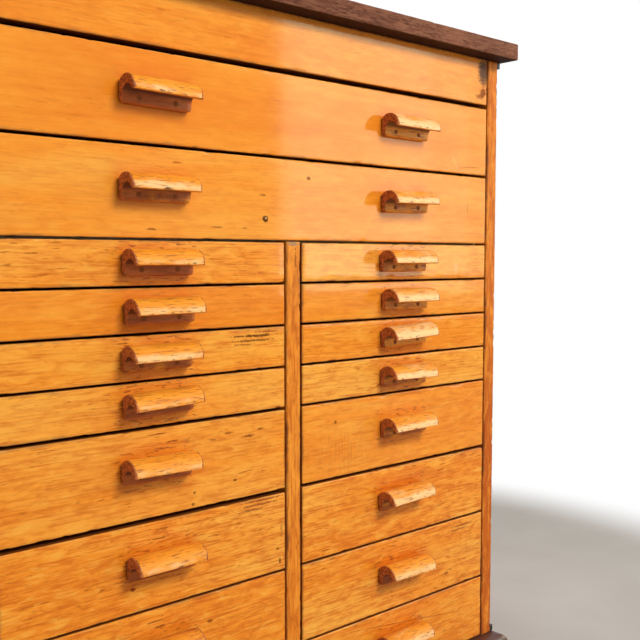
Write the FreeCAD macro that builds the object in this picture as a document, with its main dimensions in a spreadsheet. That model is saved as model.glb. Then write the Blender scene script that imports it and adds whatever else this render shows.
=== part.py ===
# Chest of drawers in solid wood: a carcass with a slab top, two wide drawers and two
# columns of eight drawers that hang on side runners.
# Millimetres. +Z is up, the drawer fronts look along -Y, X = 0 is the middle of the divider,
# Z = 0 is the floor, and Y = 0 is halfway between the pulls' lips and the slab's rear edge.
import FreeCAD, Part
import Sketcher
import os
from FreeCAD import Placement, Rotation, Vector

doc = FreeCAD.newDocument("ChestOfDrawers")

# Driving sizes: alias, value, what it is
SIZES = (
    ("board_thick", 22, "side panels and centre divider"),
    ("column_width", 361, "opening between a side panel and the divider"),
    ("carcass_height", 860, "side panels, from the base to the slab"),
    ("carcass_depth", 440, "side panels, from the front to the rear edge"),
    ("panel_round", 2, "worn front edges of the panels and the divider"),
    ("back_thick", 10, "back boards"),
    ("back_housing", 11, "rebate in the side panels for the back boards"),
    ("back_joint", 0.5, "gap between two back boards"),
    ("back_bevel", 2.5, "bevels along the joints of the back boards"),
    ("slab_thick", 23.5, "top slab"),
    ("slab_front", 26.5, "slab in front of the drawer fronts"),
    ("slab_side", 14.3, "slab beyond each side panel"),
    ("slab_back", 6, "slab behind the back boards"),
    ("slab_round", 1.8, "edges of the slab"),
    ("slab_corner", 4, "upright corners of the slab"),
    ("stretcher_width", 60, "stretchers under the slab, front to back"),
    ("stretcher_thick", 18, "stretchers under the slab"),
    ("stretcher_housing", 12, "ends of the stretchers let into the panels"),
    ("shelf_thick", 9, "dust shelf under the wide drawers"),
    ("shelf_housing", 6, "ends of the shelf let into the panels"),
    ("shelf_room", 1.5, "air between the shelf and the wide drawer over it"),
    ("moulding_height", 24, "base moulding and bottom board"),
    ("moulding_width", 46, "base moulding, seen from above"),
    ("moulding_front", 22, "moulding in front of the drawer fronts"),
    ("moulding_side", 14.3, "moulding beyond each side panel"),
    ("moulding_round", 11, "rounded upper edge of the moulding"),
    ("plinth_height", 60, "plinth under the moulding"),
    ("plinth_thick", 20, "plinth boards"),
    ("plinth_inset", 18, "plinth behind the edge of the moulding"),
    ("plinth_rear_inset", 10, "rear plinth board in front of the panels' rear edges"),
    ("block_side", 34, "glue blocks in the corners of the plinth"),
    ("block_lift", 3, "glue blocks off the floor"),
    ("cleat_wide", 8, "black cleats outside the panels"),
    ("cleat_high", 9.5, "black cleats outside the panels"),
    ("cleat_setback", 1.5, "cleats behind the front edge of the panels"),
    ("rail_height", 65.7, "fixed rail under the slab"),
    ("rail_gap", 5.5, "between the rail and the first drawer"),
    ("wide_pitch", 98.8, "row height of the wide drawers"),
    ("small_pitch", 50, "row height of the shallow drawers"),
    ("tall_pitch", 99.4, "row height of the deep drawers"),
    ("row_gap", 2.4, "between two fronts, one over the other"),
    ("side_gap", 2.8, "between a front and the board beside it"),
    ("front_thick", 20, "drawer fronts and the rail"),
    ("front_round", 1.4, "worn edges of the fronts"),
    ("front_corner", 2.2, "upright corners of the fronts"),
    ("drawer_length", 412, "drawer from its front face to its rear end"),
    ("side_thick", 12, "drawer sides"),
    ("lap_thick", 6, "wood of the front left before the dovetails"),
    ("side_rise", 5, "lower edge of the sides over that of the front"),
    ("side_drop", 6, "upper edge of the sides under that of the front"),
    ("rear_thick", 12, "drawer backs"),
    ("rear_housing", 4, "drawer backs let into the sides"),
    ("rear_drop", 3, "drawer backs under the upper edge of the sides"),
    ("floor_thick", 5, "drawer bottoms"),
    ("floor_groove", 5, "drawer bottoms let into sides and front"),
    ("floor_rise", 3.5, "drawer bottoms over the lower edge of the sides"),
    ("pin_tip", 3, "dovetail pins at the ends of the tails"),
    ("pin_root", 6, "dovetail pins at the inside of the front"),
    ("runner_high", 11, "wooden runners"),
    ("runner_reach", 6, "runners inside the groove of the drawer"),
    ("runner_top_gap", 0.3, "running gap over the runner, which carries the drawer"),
    ("runner_low_gap", 0.7, "running gap under the runner"),
    ("runner_side_gap", 0.4, "running gap at the runner's inner face"),
    ("runner_nose_gap", 0.3, "closed drawer's front before the runner's nose"),
    ("runner_end_gap", 3, "runner's end before the back boards"),
    ("pull_wide", 84.5, "pull, end to end"),
    ("pull_high", 28.8, "pull, top to bottom"),
    ("pull_reach", 31, "lip of the pull in front of the drawer front"),
    ("pull_arch", 17, "radius of the pull's outer arch"),
    ("pull_leg", 7.7, "leg of the pull, against the front"),
    ("pull_cove", 9.9, "radius of the finger cove"),
    ("pull_cove_drop", 21, "middle of the cove under the top of the pull"),
    ("pull_lip_drop", 17.8, "inner edge of the lip under the top of the pull"),
    ("pull_round", 2.5, "rounded ends of the pull"),
    ("pull_foot", 1.5, "bevel at the lower edge of the pull"),
    ("screw_spread", 44, "between the two screws of a pull"),
    ("screw_drop", 22, "screws under the top of the pull"),
    ("screw_head", 5.8, "head of a pull or runner screw, across"),
    ("screw_cone", 2.4, "countersunk head, high"),
    ("screw_shank", 3.2, "shank of a pull or runner screw, across"),
    ("screw_proud", 0.4, "head of a pull screw before the leg of the pull"),
    ("screw_slot", 0.8, "slot in the screw heads, wide and deep"),
    ("screw_bite", 11, "shank of a pull screw in the drawer front"),
    ("runner_bite", 9, "shank of a runner screw in the panel"),
    ("runner_screw_front", 60, "first screw behind the nose of a runner"),
    ("runner_screw_rear", 60, "last screw before the end of a runner"),
    ("slab_screw_head", 9, "head of a slab screw, across"),
    ("slab_screw_cap", 3, "head of a slab screw, high"),
    ("slab_screw_shank", 4.5, "shank of a slab screw, across"),
    ("slab_screw_bite", 14, "shank of a slab screw in the slab"),
    ("slab_screw_edge", 70, "outer slab screws from the panels' inner faces"),
    ("nail_head", 5, "nail head, across"),
    ("nail_cap", 0.8, "nail head, high"),
    ("nail_shank", 1.8, "nail, across"),
    ("nail_bite", 18, "nail in the board behind the back boards"),
    ("nail_edge", 30, "nails from the edges of a back board"),
)

# Each pull: distance to the right of its column's middle, height over the middle of its
# front, and degrees by which its right end stands higher
PULLS = {
    "wide_upper_left": (0.8, 2.8, -1.4),
    "wide_upper_right": (-0.1, 4.1, -0.6),
    "wide_lower_left": (-1.5, 4.1, -0.5),
    "wide_lower_right": (-0.2, 5.4, 1.0),
    "left_1": (0.8, 0.8, -0.1),
    "left_2": (2.6, -0.3, 0.3),
    "left_3": (-1.2, 0.9, 0.1),
    "left_4": (-0.2, 2.1, 1.8),
    "left_5": (-3.2, 7.0, -0.9),
    "left_6": (1.6, 4.1, 0.0),
    "left_7": (-1.0, 4.3, 0.8),
    "left_8": (-2.8, 3.7, -0.4),
    "right_1": (-2.6, 1.4, 0.0),
    "right_2": (1.1, 0.8, 0.0),
    "right_3": (0.0, 2.6, 2.3),
    "right_4": (-0.7, -1.3, -1.2),
    "right_5": (0.5, 5.0, 0.4),
    "right_6": (-3.1, 8.1, 1.5),
    "right_7": (-1.4, 4.4, -1.1),
    "right_8": (-3.5, 4.5, 0.5),
}

# What each front lacks at its upper edge, where its gap is wider than the others
WORN_TOPS = {
    "wide_upper": 0,
    "wide_lower": 0.6,
    "left_1": 0,
    "left_2": 0,
    "left_3": 0,
    "left_4": 0,
    "left_5": 0.8,
    "left_6": 2.6,
    "left_7": 0,
    "left_8": 0.4,
    "right_1": 0,
    "right_2": 0,
    "right_3": 0,
    "right_4": 0,
    "right_5": 0,
    "right_6": 1.1,
    "right_7": 0,
    "right_8": 0,
}

COLUMN_KINDS = ("small", "small", "small", "small", "tall", "tall", "tall", "last")
COLUMNS = {"left": "-Worked.column_middle", "right": "Worked.column_middle"}
PIN_COUNT = {"wide": 4, "small": 2, "tall": 4, "last": 4}
BACK_BOARDS = 6

# Values worked out from the driving sizes, each an alias and its formula
WORKED = (
    ("column_middle", "Sizes.column_width / 2 + Sizes.board_thick / 2"),
    ("half_opening", "Sizes.column_width + Sizes.board_thick / 2"),
    ("half_carcass", "half_opening + Sizes.board_thick"),
    ("base_top", "Sizes.plinth_height + Sizes.moulding_height"),
    ("slab_low", "base_top + Sizes.carcass_height"),
    ("face", "(Sizes.pull_reach - Sizes.carcass_depth - Sizes.slab_back) / 2"),
    ("inner_depth", "Sizes.carcass_depth - Sizes.back_thick"),
    ("shelf_front", "Sizes.front_thick + Sizes.row_gap"),
    ("stretcher_low", "slab_low - Sizes.stretcher_thick"),
    ("small_width", "Sizes.column_width - 2 * Sizes.side_gap"),
    ("wide_width", "2 * half_opening - 2 * Sizes.side_gap"),
    ("first_top", "slab_low - Sizes.rail_height - Sizes.rail_gap"),
    ("column_top", "first_top - 2 * Sizes.wide_pitch"),
    ("tall_top", "column_top - 4 * Sizes.small_pitch"),
    ("last_top", "tall_top - 3 * Sizes.tall_pitch"),
    ("wide_high", "Sizes.wide_pitch - Sizes.row_gap"),
    ("small_high", "Sizes.small_pitch - Sizes.row_gap"),
    ("tall_high", "Sizes.tall_pitch - Sizes.row_gap"),
    ("last_high", "last_top - base_top - Sizes.row_gap"),
    ("divider_top", "column_top + Sizes.row_gap / 2"),
    ("shelf_top", "column_top + Sizes.row_gap + Sizes.side_rise - Sizes.shelf_room"),
    ("shelf_low", "shelf_top - Sizes.shelf_thick"),
    ("moulding_outer", "half_carcass + Sizes.moulding_side"),
    ("moulding_inner", "moulding_outer - Sizes.moulding_width"),
    ("moulding_edge", "Sizes.moulding_width - Sizes.moulding_front"),
    ("plinth_half", "moulding_outer - Sizes.plinth_inset"),
    ("plinth_front", "Sizes.plinth_inset - Sizes.moulding_front"),
    ("plinth_rear", "Sizes.carcass_depth - Sizes.plinth_rear_inset"),
    ("runner_start", "Sizes.front_thick + Sizes.runner_nose_gap"),
    ("runner_stop", "inner_depth - Sizes.runner_end_gap"),
    ("runner_wide", "Sizes.side_gap + Sizes.runner_reach"),
    ("groove_deep", "Sizes.runner_reach + Sizes.runner_side_gap"),
    ("groove_high", "Sizes.runner_high + Sizes.runner_top_gap + Sizes.runner_low_gap"),
    ("back_width", "2 * (half_opening + Sizes.back_housing)"),
)


def fill_sheet(sheet, rows, mark):
    """Write alias, value and note rows into a sheet; mark comes before each value."""
    for number, row in enumerate(rows, 1):
        sheet.set(f"A{number}", row[0])
        sheet.set(f"B{number}", mark + str(row[1]))
        sheet.setAlias(f"B{number}", row[0])
        if len(row) > 2:
            sheet.set(f"C{number}", row[2])
    doc.recompute()


def pull_rows():
    """Rows of the sheet of hand-placed pulls and worn fronts."""
    for name, (across, rise, tilt) in PULLS.items():
        yield f"across_{name}", across
        yield f"rise_{name}", rise
        yield f"tilt_{name}", tilt
    for name, lack in WORN_TOPS.items():
        yield f"lack_{name}", lack


sizes = doc.addObject("Spreadsheet::Sheet", "Sizes")
fill_sheet(sizes, SIZES, "")
fitted = doc.addObject("Spreadsheet::Sheet", "Fitted")
fill_sheet(fitted, tuple(pull_rows()), "")
worked = doc.addObject("Spreadsheet::Sheet", "Worked")
fill_sheet(worked, WORKED, "=")

nodes = []


def value(expression):
    """The number that an expression over the sheets gives now."""
    return float(sizes.evalExpression(expression))


def node(item, label):
    """Name an object as a sub-part that gets a file of its own."""
    item.Label = label
    nodes.append(item)
    return item


def place(item, x="0", y="0", z="0"):
    """Bind an object's place to expressions."""
    for axis, expression in (("x", x), ("y", y), ("z", z)):
        item.setExpression(f"Placement.Base.{axis}", expression)
    return item


def block(name, corner, size):
    """A plain square board from its low corner and its size, all expressions."""
    item = doc.addObject("Part::Box", name)
    for field, expression in zip(("Length", "Width", "Height"), size):
        item.setExpression(field, expression)
    return place(item, *corner)


def cut(name, base, *tools):
    """Take the tools out of a base, one after the other."""
    for number, tool in enumerate(tools, 1):
        step = doc.addObject("Part::Cut", f"{name}_cut_{number}")
        step.Base = base
        step.Tool = tool
        base = step
    return base


def group(name, members):
    """Several solids kept as one object."""
    item = doc.addObject("Part::Compound", name)
    item.Links = list(members)
    return item


def new_sketch(body, name, plane_role):
    """A sketch on one of the body's own origin planes."""
    sketch = body.newObject("Sketcher::SketchObject", name)
    plane = [item for item in body.Origin.OriginFeatures if item.Role == plane_role][0]
    sketch.AttachmentSupport = [(plane, "")]
    sketch.MapMode = "FlatFace"
    return sketch


def hold_point(sketch, edge, end, across, up):
    """Hold one end of an edge at two expressions from the sketch's origin."""
    for kind, word, expression in (("DistanceX", "across", across), ("DistanceY", "up", up)):
        rule = Sketcher.Constraint(kind, -1, 1, edge, end, value(expression))
        number = sketch.addConstraint(rule)
        title = f"{word}_{edge}_{end}"
        sketch.renameConstraint(number, title)
        sketch.setExpression(f"Constraints.{title}", expression)


def hold_radius(sketch, edge, expression):
    """Hold the radius of an arc at an expression."""
    number = sketch.addConstraint(Sketcher.Constraint("Radius", edge, value(expression)))
    sketch.renameConstraint(number, f"radius_{edge}")
    sketch.setExpression(f"Constraints.radius_{edge}", expression)


def outline_body(name, plane_role, corners, depth):
    """A body padded from a closed outline of straight lines."""
    body = doc.addObject("PartDesign::Body", name)
    sketch = new_sketch(body, f"{name}_outline", plane_role)
    points = [Vector(value(across), value(up), 0) for across, up in corners]
    count = len(points)
    for number in range(count):
        sketch.addGeometry(Part.LineSegment(points[number], points[(number + 1) % count]))
    for number in range(count):
        sketch.addConstraint(Sketcher.Constraint("Coincident", number, 2, (number + 1) % count, 1))
    for number, (across, up) in enumerate(corners):
        hold_point(sketch, number, 1, across, up)
    pad = body.newObject("PartDesign::Pad", f"{name}_pad")
    pad.Profile = sketch
    pad.setExpression("Length", depth)
    doc.recompute()
    return body, pad


def board_body(name, size):
    """A body padded from a rectangle that is centred on X and starts at Y = 0."""
    half = f"({size[0]}) / 2"
    corners = ((f"-{half}", "0"), (half, "0"), (half, size[1]), (f"-{half}", size[1]))
    return outline_body(name, "XY_Plane", corners, size[2])


def soften(body, feature, title, radius, chosen):
    """Round the edges of a body's feature that pass a test, with a bound radius."""
    names = [f"Edge{number}" for number, edge in enumerate(feature.Shape.Edges, 1) if chosen(edge)]
    fillet = body.newObject("PartDesign::Fillet", f"{body.Name}_{title}")
    fillet.Base = (feature, names)
    fillet.setExpression("Radius", radius)
    doc.recompute()
    return fillet


def upright(edge):
    """True for a straight edge along Z."""
    box = edge.BoundBox
    return box.ZLength > 1e-6 and box.XLength < 1e-6 and box.YLength < 1e-6


def at_front(edge):
    """True for an edge that lies in the plane Y = 0."""
    box = edge.BoundBox
    return abs(box.YMin) < 1e-6 and abs(box.YMax) < 1e-6


def top_slab():
    """The slab, with softened edges and rounded upright corners."""
    size = (
        "2 * (Worked.half_carcass + Sizes.slab_side)",
        "Sizes.slab_front + Sizes.carcass_depth + Sizes.slab_back",
        "Sizes.slab_thick",
    )
    body, pad = board_body("top_slab_body", size)
    corners = soften(body, pad, "corners", "Sizes.slab_corner", upright)
    soften(body, corners, "edges", "Sizes.slab_round", lambda edge: not upright(edge))
    return place(body, "0", "Worked.face - Sizes.slab_front", "Worked.slab_low")


def standing_board(name, middle):
    """A side panel before its housings are cut."""
    size = ("Sizes.board_thick", "Sizes.carcass_depth", "Sizes.carcass_height")
    body, pad = board_body(name, size)
    soften(body, pad, "worn", "Sizes.panel_round", lambda edge: upright(edge) and at_front(edge))
    return place(body, middle, "Worked.face", "Worked.base_top")


def centre_divider():
    """The divider, cut down behind its nose so that the shelf lies on it."""
    nose = "Worked.shelf_front"
    low = "Worked.shelf_low - Worked.base_top"
    high = "Worked.divider_top - Worked.base_top"
    outline = (("0", "0"), ("Worked.inner_depth", "0"), ("Worked.inner_depth", low),
               (nose, low), (nose, high), ("0", high))
    body, pad = outline_body("divider_body", "YZ_Plane", outline, "Sizes.board_thick")
    soften(body, pad, "worn", "Sizes.panel_round", lambda edge: upright(edge) and at_front(edge))
    return place(body, "-Sizes.board_thick / 2", "Worked.face", "Worked.base_top")


def stretcher(name, start):
    """A flat board under the slab, from panel to panel."""
    length = "2 * (Worked.half_opening + Sizes.stretcher_housing)"
    corner = ("-Worked.half_opening - Sizes.stretcher_housing", start, "Worked.stretcher_low")
    return block(name, corner, (length, "Sizes.stretcher_width", "Sizes.stretcher_thick"))


def mitred(name, corners):
    """One length of base moulding with its upper outer edge rounded."""
    body, pad = outline_body(name, "XY_Plane", corners, "Sizes.moulding_height")
    high = value("Sizes.moulding_height")
    first = Vector(value(corners[0][0]), value(corners[0][1]), high)
    second = Vector(value(corners[1][0]), value(corners[1][1]), high)
    middle = (first + second) / 2

    def outer_top(edge):
        return (edge.CenterOfMass - middle).Length < 1e-4

    soften(body, pad, "round", "Sizes.moulding_round", outer_top)
    return place(body, "0", "Worked.face", "Sizes.plinth_height")


def base_mouldings():
    """Front and side mouldings that meet in mitres."""
    outer = "Worked.moulding_outer"
    inner = "Worked.moulding_inner"
    front = "-Sizes.moulding_front"
    edge = "Worked.moulding_edge"
    rear = "Sizes.carcass_depth"
    ahead = ((f"-{outer}", front), (outer, front), (inner, edge), (f"-{inner}", edge))
    left = ((f"-{outer}", rear), (f"-{outer}", front), (f"-{inner}", edge), (f"-{inner}", rear))
    right = ((outer, front), (outer, rear), (inner, rear), (inner, edge))
    node(mitred("moulding_front_body", ahead), "base_moulding_front")
    node(mitred("moulding_left_body", left), "base_moulding_left")
    node(mitred("moulding_right_body", right), "base_moulding_right")


def plinth():
    """Four plinth boards and the glue blocks in their corners."""
    half = "Worked.plinth_half"
    thick = "Sizes.plinth_thick"
    high = "Sizes.plinth_height"
    front = "Worked.face + Worked.plinth_front"
    rear = "Worked.face + Worked.plinth_rear"
    run = f"Worked.plinth_rear - Worked.plinth_front - 2 * {thick}"
    node(block("plinth_front_board", (f"-{half}", front, "0"), (f"2 * {half}", thick, high)),
         "plinth_front")
    node(block("plinth_back_board", (f"-{half}", f"{rear} - {thick}", "0"),
               (f"2 * {half}", thick, high)), "plinth_back")
    node(block("plinth_left_board", (f"-{half}", f"{front} + {thick}", "0"), (thick, run, high)),
         "plinth_left")
    node(block("plinth_right_board", (f"{half} - {thick}", f"{front} + {thick}", "0"),
               (thick, run, high)), "plinth_right")
    blocks = []
    side = "Sizes.block_side"
    size = (side, side, "Sizes.plinth_height - Sizes.block_lift")
    for column, x in (("left", f"-{half} + {thick}"), ("right", f"{half} - {thick} - {side}")):
        for end, y in (("front", f"{front} + {thick}"), ("rear", f"{rear} - {thick} - {side}")):
            blocks.append(block(f"block_{column}_{end}", (x, y, "Sizes.block_lift"), size))
    node(group("corner_block_set", blocks), "corner_blocks")


def screw_blank(name, head, cone, shank, length):
    """A countersunk screw along +Z with its head's face at Z = 0, before its slot."""
    top = doc.addObject("Part::Cone", f"{name}_head")
    top.setExpression("Radius1", f"{head} / 2")
    top.setExpression("Radius2", f"{shank} / 2")
    top.setExpression("Height", cone)
    stem = doc.addObject("Part::Cylinder", f"{name}_shank")
    stem.setExpression("Radius", f"{shank} / 2")
    stem.setExpression("Height", f"{length} - {cone}")
    place(stem, z=cone)
    joined = doc.addObject("Part::Fuse", name)
    joined.Base = top
    joined.Tool = stem
    return joined


def headed_pin(name, head, cap, shank, length):
    """A flat-headed screw or nail along +Z, with the underside of its head at Z = 0."""
    top = doc.addObject("Part::Cylinder", f"{name}_head")
    top.setExpression("Radius", f"{head} / 2")
    top.setExpression("Height", cap)
    place(top, z=f"-{cap}")
    stem = doc.addObject("Part::Cylinder", f"{name}_shank")
    stem.setExpression("Radius", f"{shank} / 2")
    stem.setExpression("Height", length)
    joined = doc.addObject("Part::Fuse", name)
    joined.Base = top
    joined.Tool = stem
    return joined


def copy_of(name, source, turn, x, y, z):
    """A linked copy of an object, turned and then placed by expressions."""
    item = doc.addObject("App::Link", name)
    item.LinkedObject = source
    item.Placement = Placement(Vector(), turn)
    return place(item, x, y, z)


def arc_edge(centre_y, centre_z, radius, start, end):
    """An arc of a sketch from its centre, counted round from the first angle to the second."""
    circle = Part.Circle(Vector(value(centre_y), value(centre_z), 0), Vector(0, 0, 1), value(radius))
    return Part.ArcOfCircle(circle, circle.parameter(start), circle.parameter(end))


def pull_body():
    """The pull: a block with an arched back and a finger cove, its middle at the origin."""
    top = "Sizes.pull_high / 2"
    leg_y = "-Sizes.pull_leg"
    tip_y = "-Sizes.pull_reach"
    arch_y = "-(Sizes.pull_reach - Sizes.pull_arch)"
    arch_z = f"({top} - Sizes.pull_arch)"
    cove_y = "-(Sizes.pull_leg + Sizes.pull_cove)"
    cove_z = f"({top} - Sizes.pull_cove_drop)"
    seat_z = f"({arch_z} + sqrt(Sizes.pull_arch ^ 2 - ({arch_y}) ^ 2))"
    lip_z = f"({top} - Sizes.pull_lip_drop)"
    lip_y = f"({cove_y} - sqrt(Sizes.pull_cove ^ 2 - ({lip_z} - {cove_z}) ^ 2))"
    foot_z = f"(-{top})"
    bevel_z = f"({foot_z} + Sizes.pull_foot)"
    bevel_y = f"({leg_y} + Sizes.pull_foot)"

    def spot(across, up):
        return Vector(value(across), value(up), 0)

    body = doc.addObject("PartDesign::Body", "pull_body")
    sketch = new_sketch(body, "pull_section", "YZ_Plane")
    seat = spot("0", seat_z)
    tip = spot(tip_y, arch_z)
    lip = spot(lip_y, lip_z)
    leg = spot(leg_y, cove_z)
    sketch.addGeometry(arc_edge(arch_y, arch_z, "Sizes.pull_arch", seat, tip))
    sketch.addGeometry(Part.LineSegment(tip, lip))
    sketch.addGeometry(arc_edge(cove_y, cove_z, "Sizes.pull_cove", leg, lip))
    straight = [(leg_y, cove_z), (leg_y, bevel_z), (bevel_y, foot_z), ("0", foot_z), ("0", seat_z)]
    for first, second in zip(straight, straight[1:]):
        sketch.addGeometry(Part.LineSegment(spot(*first), spot(*second)))
    joints = ((0, 2, 1, 1), (1, 2, 2, 2), (2, 1, 3, 1), (3, 2, 4, 1), (4, 2, 5, 1), (5, 2, 6, 1),
              (6, 2, 0, 1))
    for joint in joints:
        sketch.addConstraint(Sketcher.Constraint("Coincident", *joint))
    hold_point(sketch, 0, 1, "0", seat_z)
    hold_point(sketch, 0, 2, tip_y, arch_z)
    hold_radius(sketch, 0, "Sizes.pull_arch")
    hold_point(sketch, 2, 1, leg_y, cove_z)
    hold_point(sketch, 2, 2, lip_y, lip_z)
    hold_radius(sketch, 2, "Sizes.pull_cove")
    hold_point(sketch, 4, 1, leg_y, bevel_z)
    hold_point(sketch, 5, 1, bevel_y, foot_z)
    hold_point(sketch, 6, 1, "0", foot_z)
    pad = body.newObject("PartDesign::Pad", "pull_pad")
    pad.Profile = sketch
    pad.setExpression("Length", "Sizes.pull_wide")
    doc.recompute()
    arch = value("Sizes.pull_arch")

    def end_of_arch(edge):
        curve = edge.Curve
        return isinstance(curve, Part.Circle) and abs(curve.Radius - arch) < 1e-4

    soften(body, pad, "ends", "Sizes.pull_round", end_of_arch)
    return place(body, x="-Sizes.pull_wide / 2")


def screw_copies(name, source, turn, spots):
    """One group of linked screws at a list of places."""
    copies = [copy_of(f"{name}_{number}", source, turn, *spot) for number, spot in enumerate(spots, 1)]
    return group(name, copies)


def front_board(name, kind, lack):
    """A drawer front with worn edges, its lower edge at Z = 0 and its face at Y = 0."""
    width = "Worked.wide_width" if kind == "wide" else "Worked.small_width"
    size = (width, "Sizes.front_thick", f"Worked.{kind}_high - {lack}")
    body, pad = board_body(name, size)
    corners = soften(body, pad, "corners", "Sizes.front_corner",
                     lambda edge: upright(edge) and at_front(edge))
    soften(body, corners, "edges", "Sizes.front_round",
           lambda edge: at_front(edge) and edge.BoundBox.XLength > value("Sizes.front_thick"))
    return body


def box_boards(kind):
    """Sides, back and bottom shared by the drawers of one kind, around X = 0."""
    half = ("Worked.wide_width" if kind == "wide" else "Worked.small_width") + " / 2"
    side_high = f"(Worked.{kind}_high - Sizes.side_rise - Sizes.side_drop)"
    floor_low = "(Sizes.side_rise + Sizes.floor_rise)"
    floor_top = f"({floor_low} + Sizes.floor_thick)"
    inner = f"({half} - Sizes.side_thick)"
    rear = block(
        f"{kind}_rear",
        (f"-({inner} + Sizes.rear_housing)", "Sizes.drawer_length - Sizes.rear_thick", floor_top),
        (f"2 * ({inner} + Sizes.rear_housing)", "Sizes.rear_thick",
         f"Sizes.side_rise + {side_high} - Sizes.rear_drop - {floor_top}"))
    floor = block(
        f"{kind}_floor",
        (f"-({inner} + Sizes.floor_groove)", "Sizes.front_thick - Sizes.floor_groove", floor_low),
        (f"2 * ({inner} + Sizes.floor_groove)",
         "Sizes.drawer_length - Sizes.front_thick + Sizes.floor_groove", "Sizes.floor_thick"))
    sides = []
    groove_low = f"(Sizes.side_rise + ({side_high} - Sizes.runner_high) / 2 - Sizes.runner_low_gap)"
    for mark, side_x, groove_x in (
        ("left", f"-{half}", f"-{half}"),
        ("right", f"{half} - Sizes.side_thick", f"{half} - Worked.groove_deep"),
    ):
        plank = block(f"{kind}_{mark}_plank", (side_x, "Sizes.lap_thick", "Sizes.side_rise"),
                      ("Sizes.side_thick", "Sizes.drawer_length - Sizes.lap_thick", side_high))
        groove = block(f"{kind}_{mark}_groove", (groove_x, "Sizes.front_thick", groove_low),
                       ("Worked.groove_deep", "Sizes.drawer_length", "Worked.groove_high"))
        pins = [pin_gap(kind, mark, number, side_x, side_high) for number in range(PIN_COUNT[kind] + 1)]
        sides.append(cut(f"{kind}_{mark}_side", plank, groove, *pins, rear, floor))
    return sides, rear, floor


def pin_gap(kind, mark, number, side_x, side_high):
    """The space between two dovetails, wide at the inside of the front."""
    middle = f"(Sizes.side_rise + {side_high} * {number} / {PIN_COUNT[kind]})"
    wedge = doc.addObject("Part::Wedge", f"{kind}_{mark}_pin_{number}")
    fields = {
        "Xmin": "0", "Xmax": "Sizes.side_thick", "X2min": "0", "X2max": "Sizes.side_thick",
        "Ymin": "0", "Ymax": "Sizes.front_thick - Sizes.lap_thick",
        "Zmin": "-Sizes.pin_tip / 2", "Zmax": "Sizes.pin_tip / 2",
        "Z2min": "-Sizes.pin_root / 2", "Z2max": "Sizes.pin_root / 2",
    }
    for field, expression in fields.items():
        wedge.setExpression(field, expression)
    return place(wedge, side_x, "Sizes.lap_thick", middle)


def pull_spot(name, base, high, middle="0"):
    """Place an object where a pull sits: base is its drawer's place, high its front."""
    x, y, z = base
    return {
        "x": f"{x} + {middle} + Fitted.across_{name}",
        "y": y,
        "z": f"{z} + {high} / 2 + Fitted.rise_{name}",
    }


def tilted(item, name, spot):
    """Turn a pull or its screws in the plane of the front and place it."""
    item.Placement = Placement(Vector(), Rotation(Vector(0, -1, 0), 1))
    item.setExpression("Placement.Rotation.Angle", f"Fitted.tilt_{name}")
    return place(item, **spot)


def drawer(name, kind, base, boards, parts, pulls):
    """One drawer node and its pull node; pulls maps a pull's name to its middle."""
    pull, screws, blanks = parts
    sides, rear, floor = boards
    x, z = base
    lack = f"Fitted.lack_{name}"
    high = f"(Worked.{kind}_high - {lack})"
    front = front_board(f"{name}_front", kind, lack)
    holes = []
    fitted_pulls = []
    for title, middle in pulls.items():
        own_spot = pull_spot(title, ("0", "0", "0"), high, middle)
        holes.append(tilted(group(f"{title}_holes", blanks), title, own_spot))
        spot = pull_spot(title, (x, "Worked.face", z), high, middle)
        fitted_pulls.append(tilted(group(f"{title}_pull", [pull, *screws]), title, spot))
    front = cut(f"{name}_front_board", front, *sides, floor, *holes)
    whole = place(group(f"{name}_box", [front, *sides, rear, floor]), x, "Worked.face", z)
    node(whole, f"drawer_{name}")
    if len(fitted_pulls) == 1:
        node(fitted_pulls[0], f"pull_{name}")
    else:
        node(group(f"{name}_pulls", fitted_pulls), f"pulls_{name}")


def column_bottom(row):
    """Height of the lower edge of a column's front, its row counted from 1 at the top."""
    if row == len(COLUMN_KINDS):
        return "Worked.base_top + Sizes.row_gap"
    small = min(row, COLUMN_KINDS.count("small"))
    tall = row - small
    return f"Worked.column_top - {small} * Sizes.small_pitch - {tall} * Sizes.tall_pitch + Sizes.row_gap"


def wide_bottom(row):
    """Height of the lower edge of a wide front, its row counted from 1 at the top."""
    return f"Worked.first_top - {row} * Sizes.wide_pitch + Sizes.row_gap"


def runner_height(kind, bottom):
    """Height of the lower face of the runners that carry a drawer."""
    middle = f"(Worked.{kind}_high + Sizes.side_rise - Sizes.side_drop - Sizes.runner_high) / 2"
    return f"{bottom} + {middle}"


def runner_line(name, wall, faces_right, rows, blank):
    """Runners and their screws on one upright face; rows lists kind and bottom."""
    runners = []
    spots = []
    first = "Worked.face + Worked.runner_start"
    length = "Worked.runner_stop - Worked.runner_start"
    start = wall if faces_right else f"{wall} - Worked.runner_wide"
    head = f"{wall} + Worked.runner_wide" if faces_right else start
    for number, (kind, bottom) in enumerate(rows, 1):
        low = runner_height(kind, bottom)
        runners.append(block(f"{name}_runner_{number}", (start, first, low),
                             ("Worked.runner_wide", length, "Sizes.runner_high")))
        middle = f"{low} + Sizes.runner_high / 2"
        spots.append((head, f"{first} + Sizes.runner_screw_front", middle))
        spots.append((head, "Worked.face + Worked.runner_stop - Sizes.runner_screw_rear", middle))
    turn = Rotation(Vector(0, 1, 0), -90 if faces_right else 90)
    screws = screw_copies(f"{name}_runner_screws", blank, turn, spots)
    return cut(f"{name}_runner_set", group(f"{name}_runner_blanks", runners), screws), screws


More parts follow.
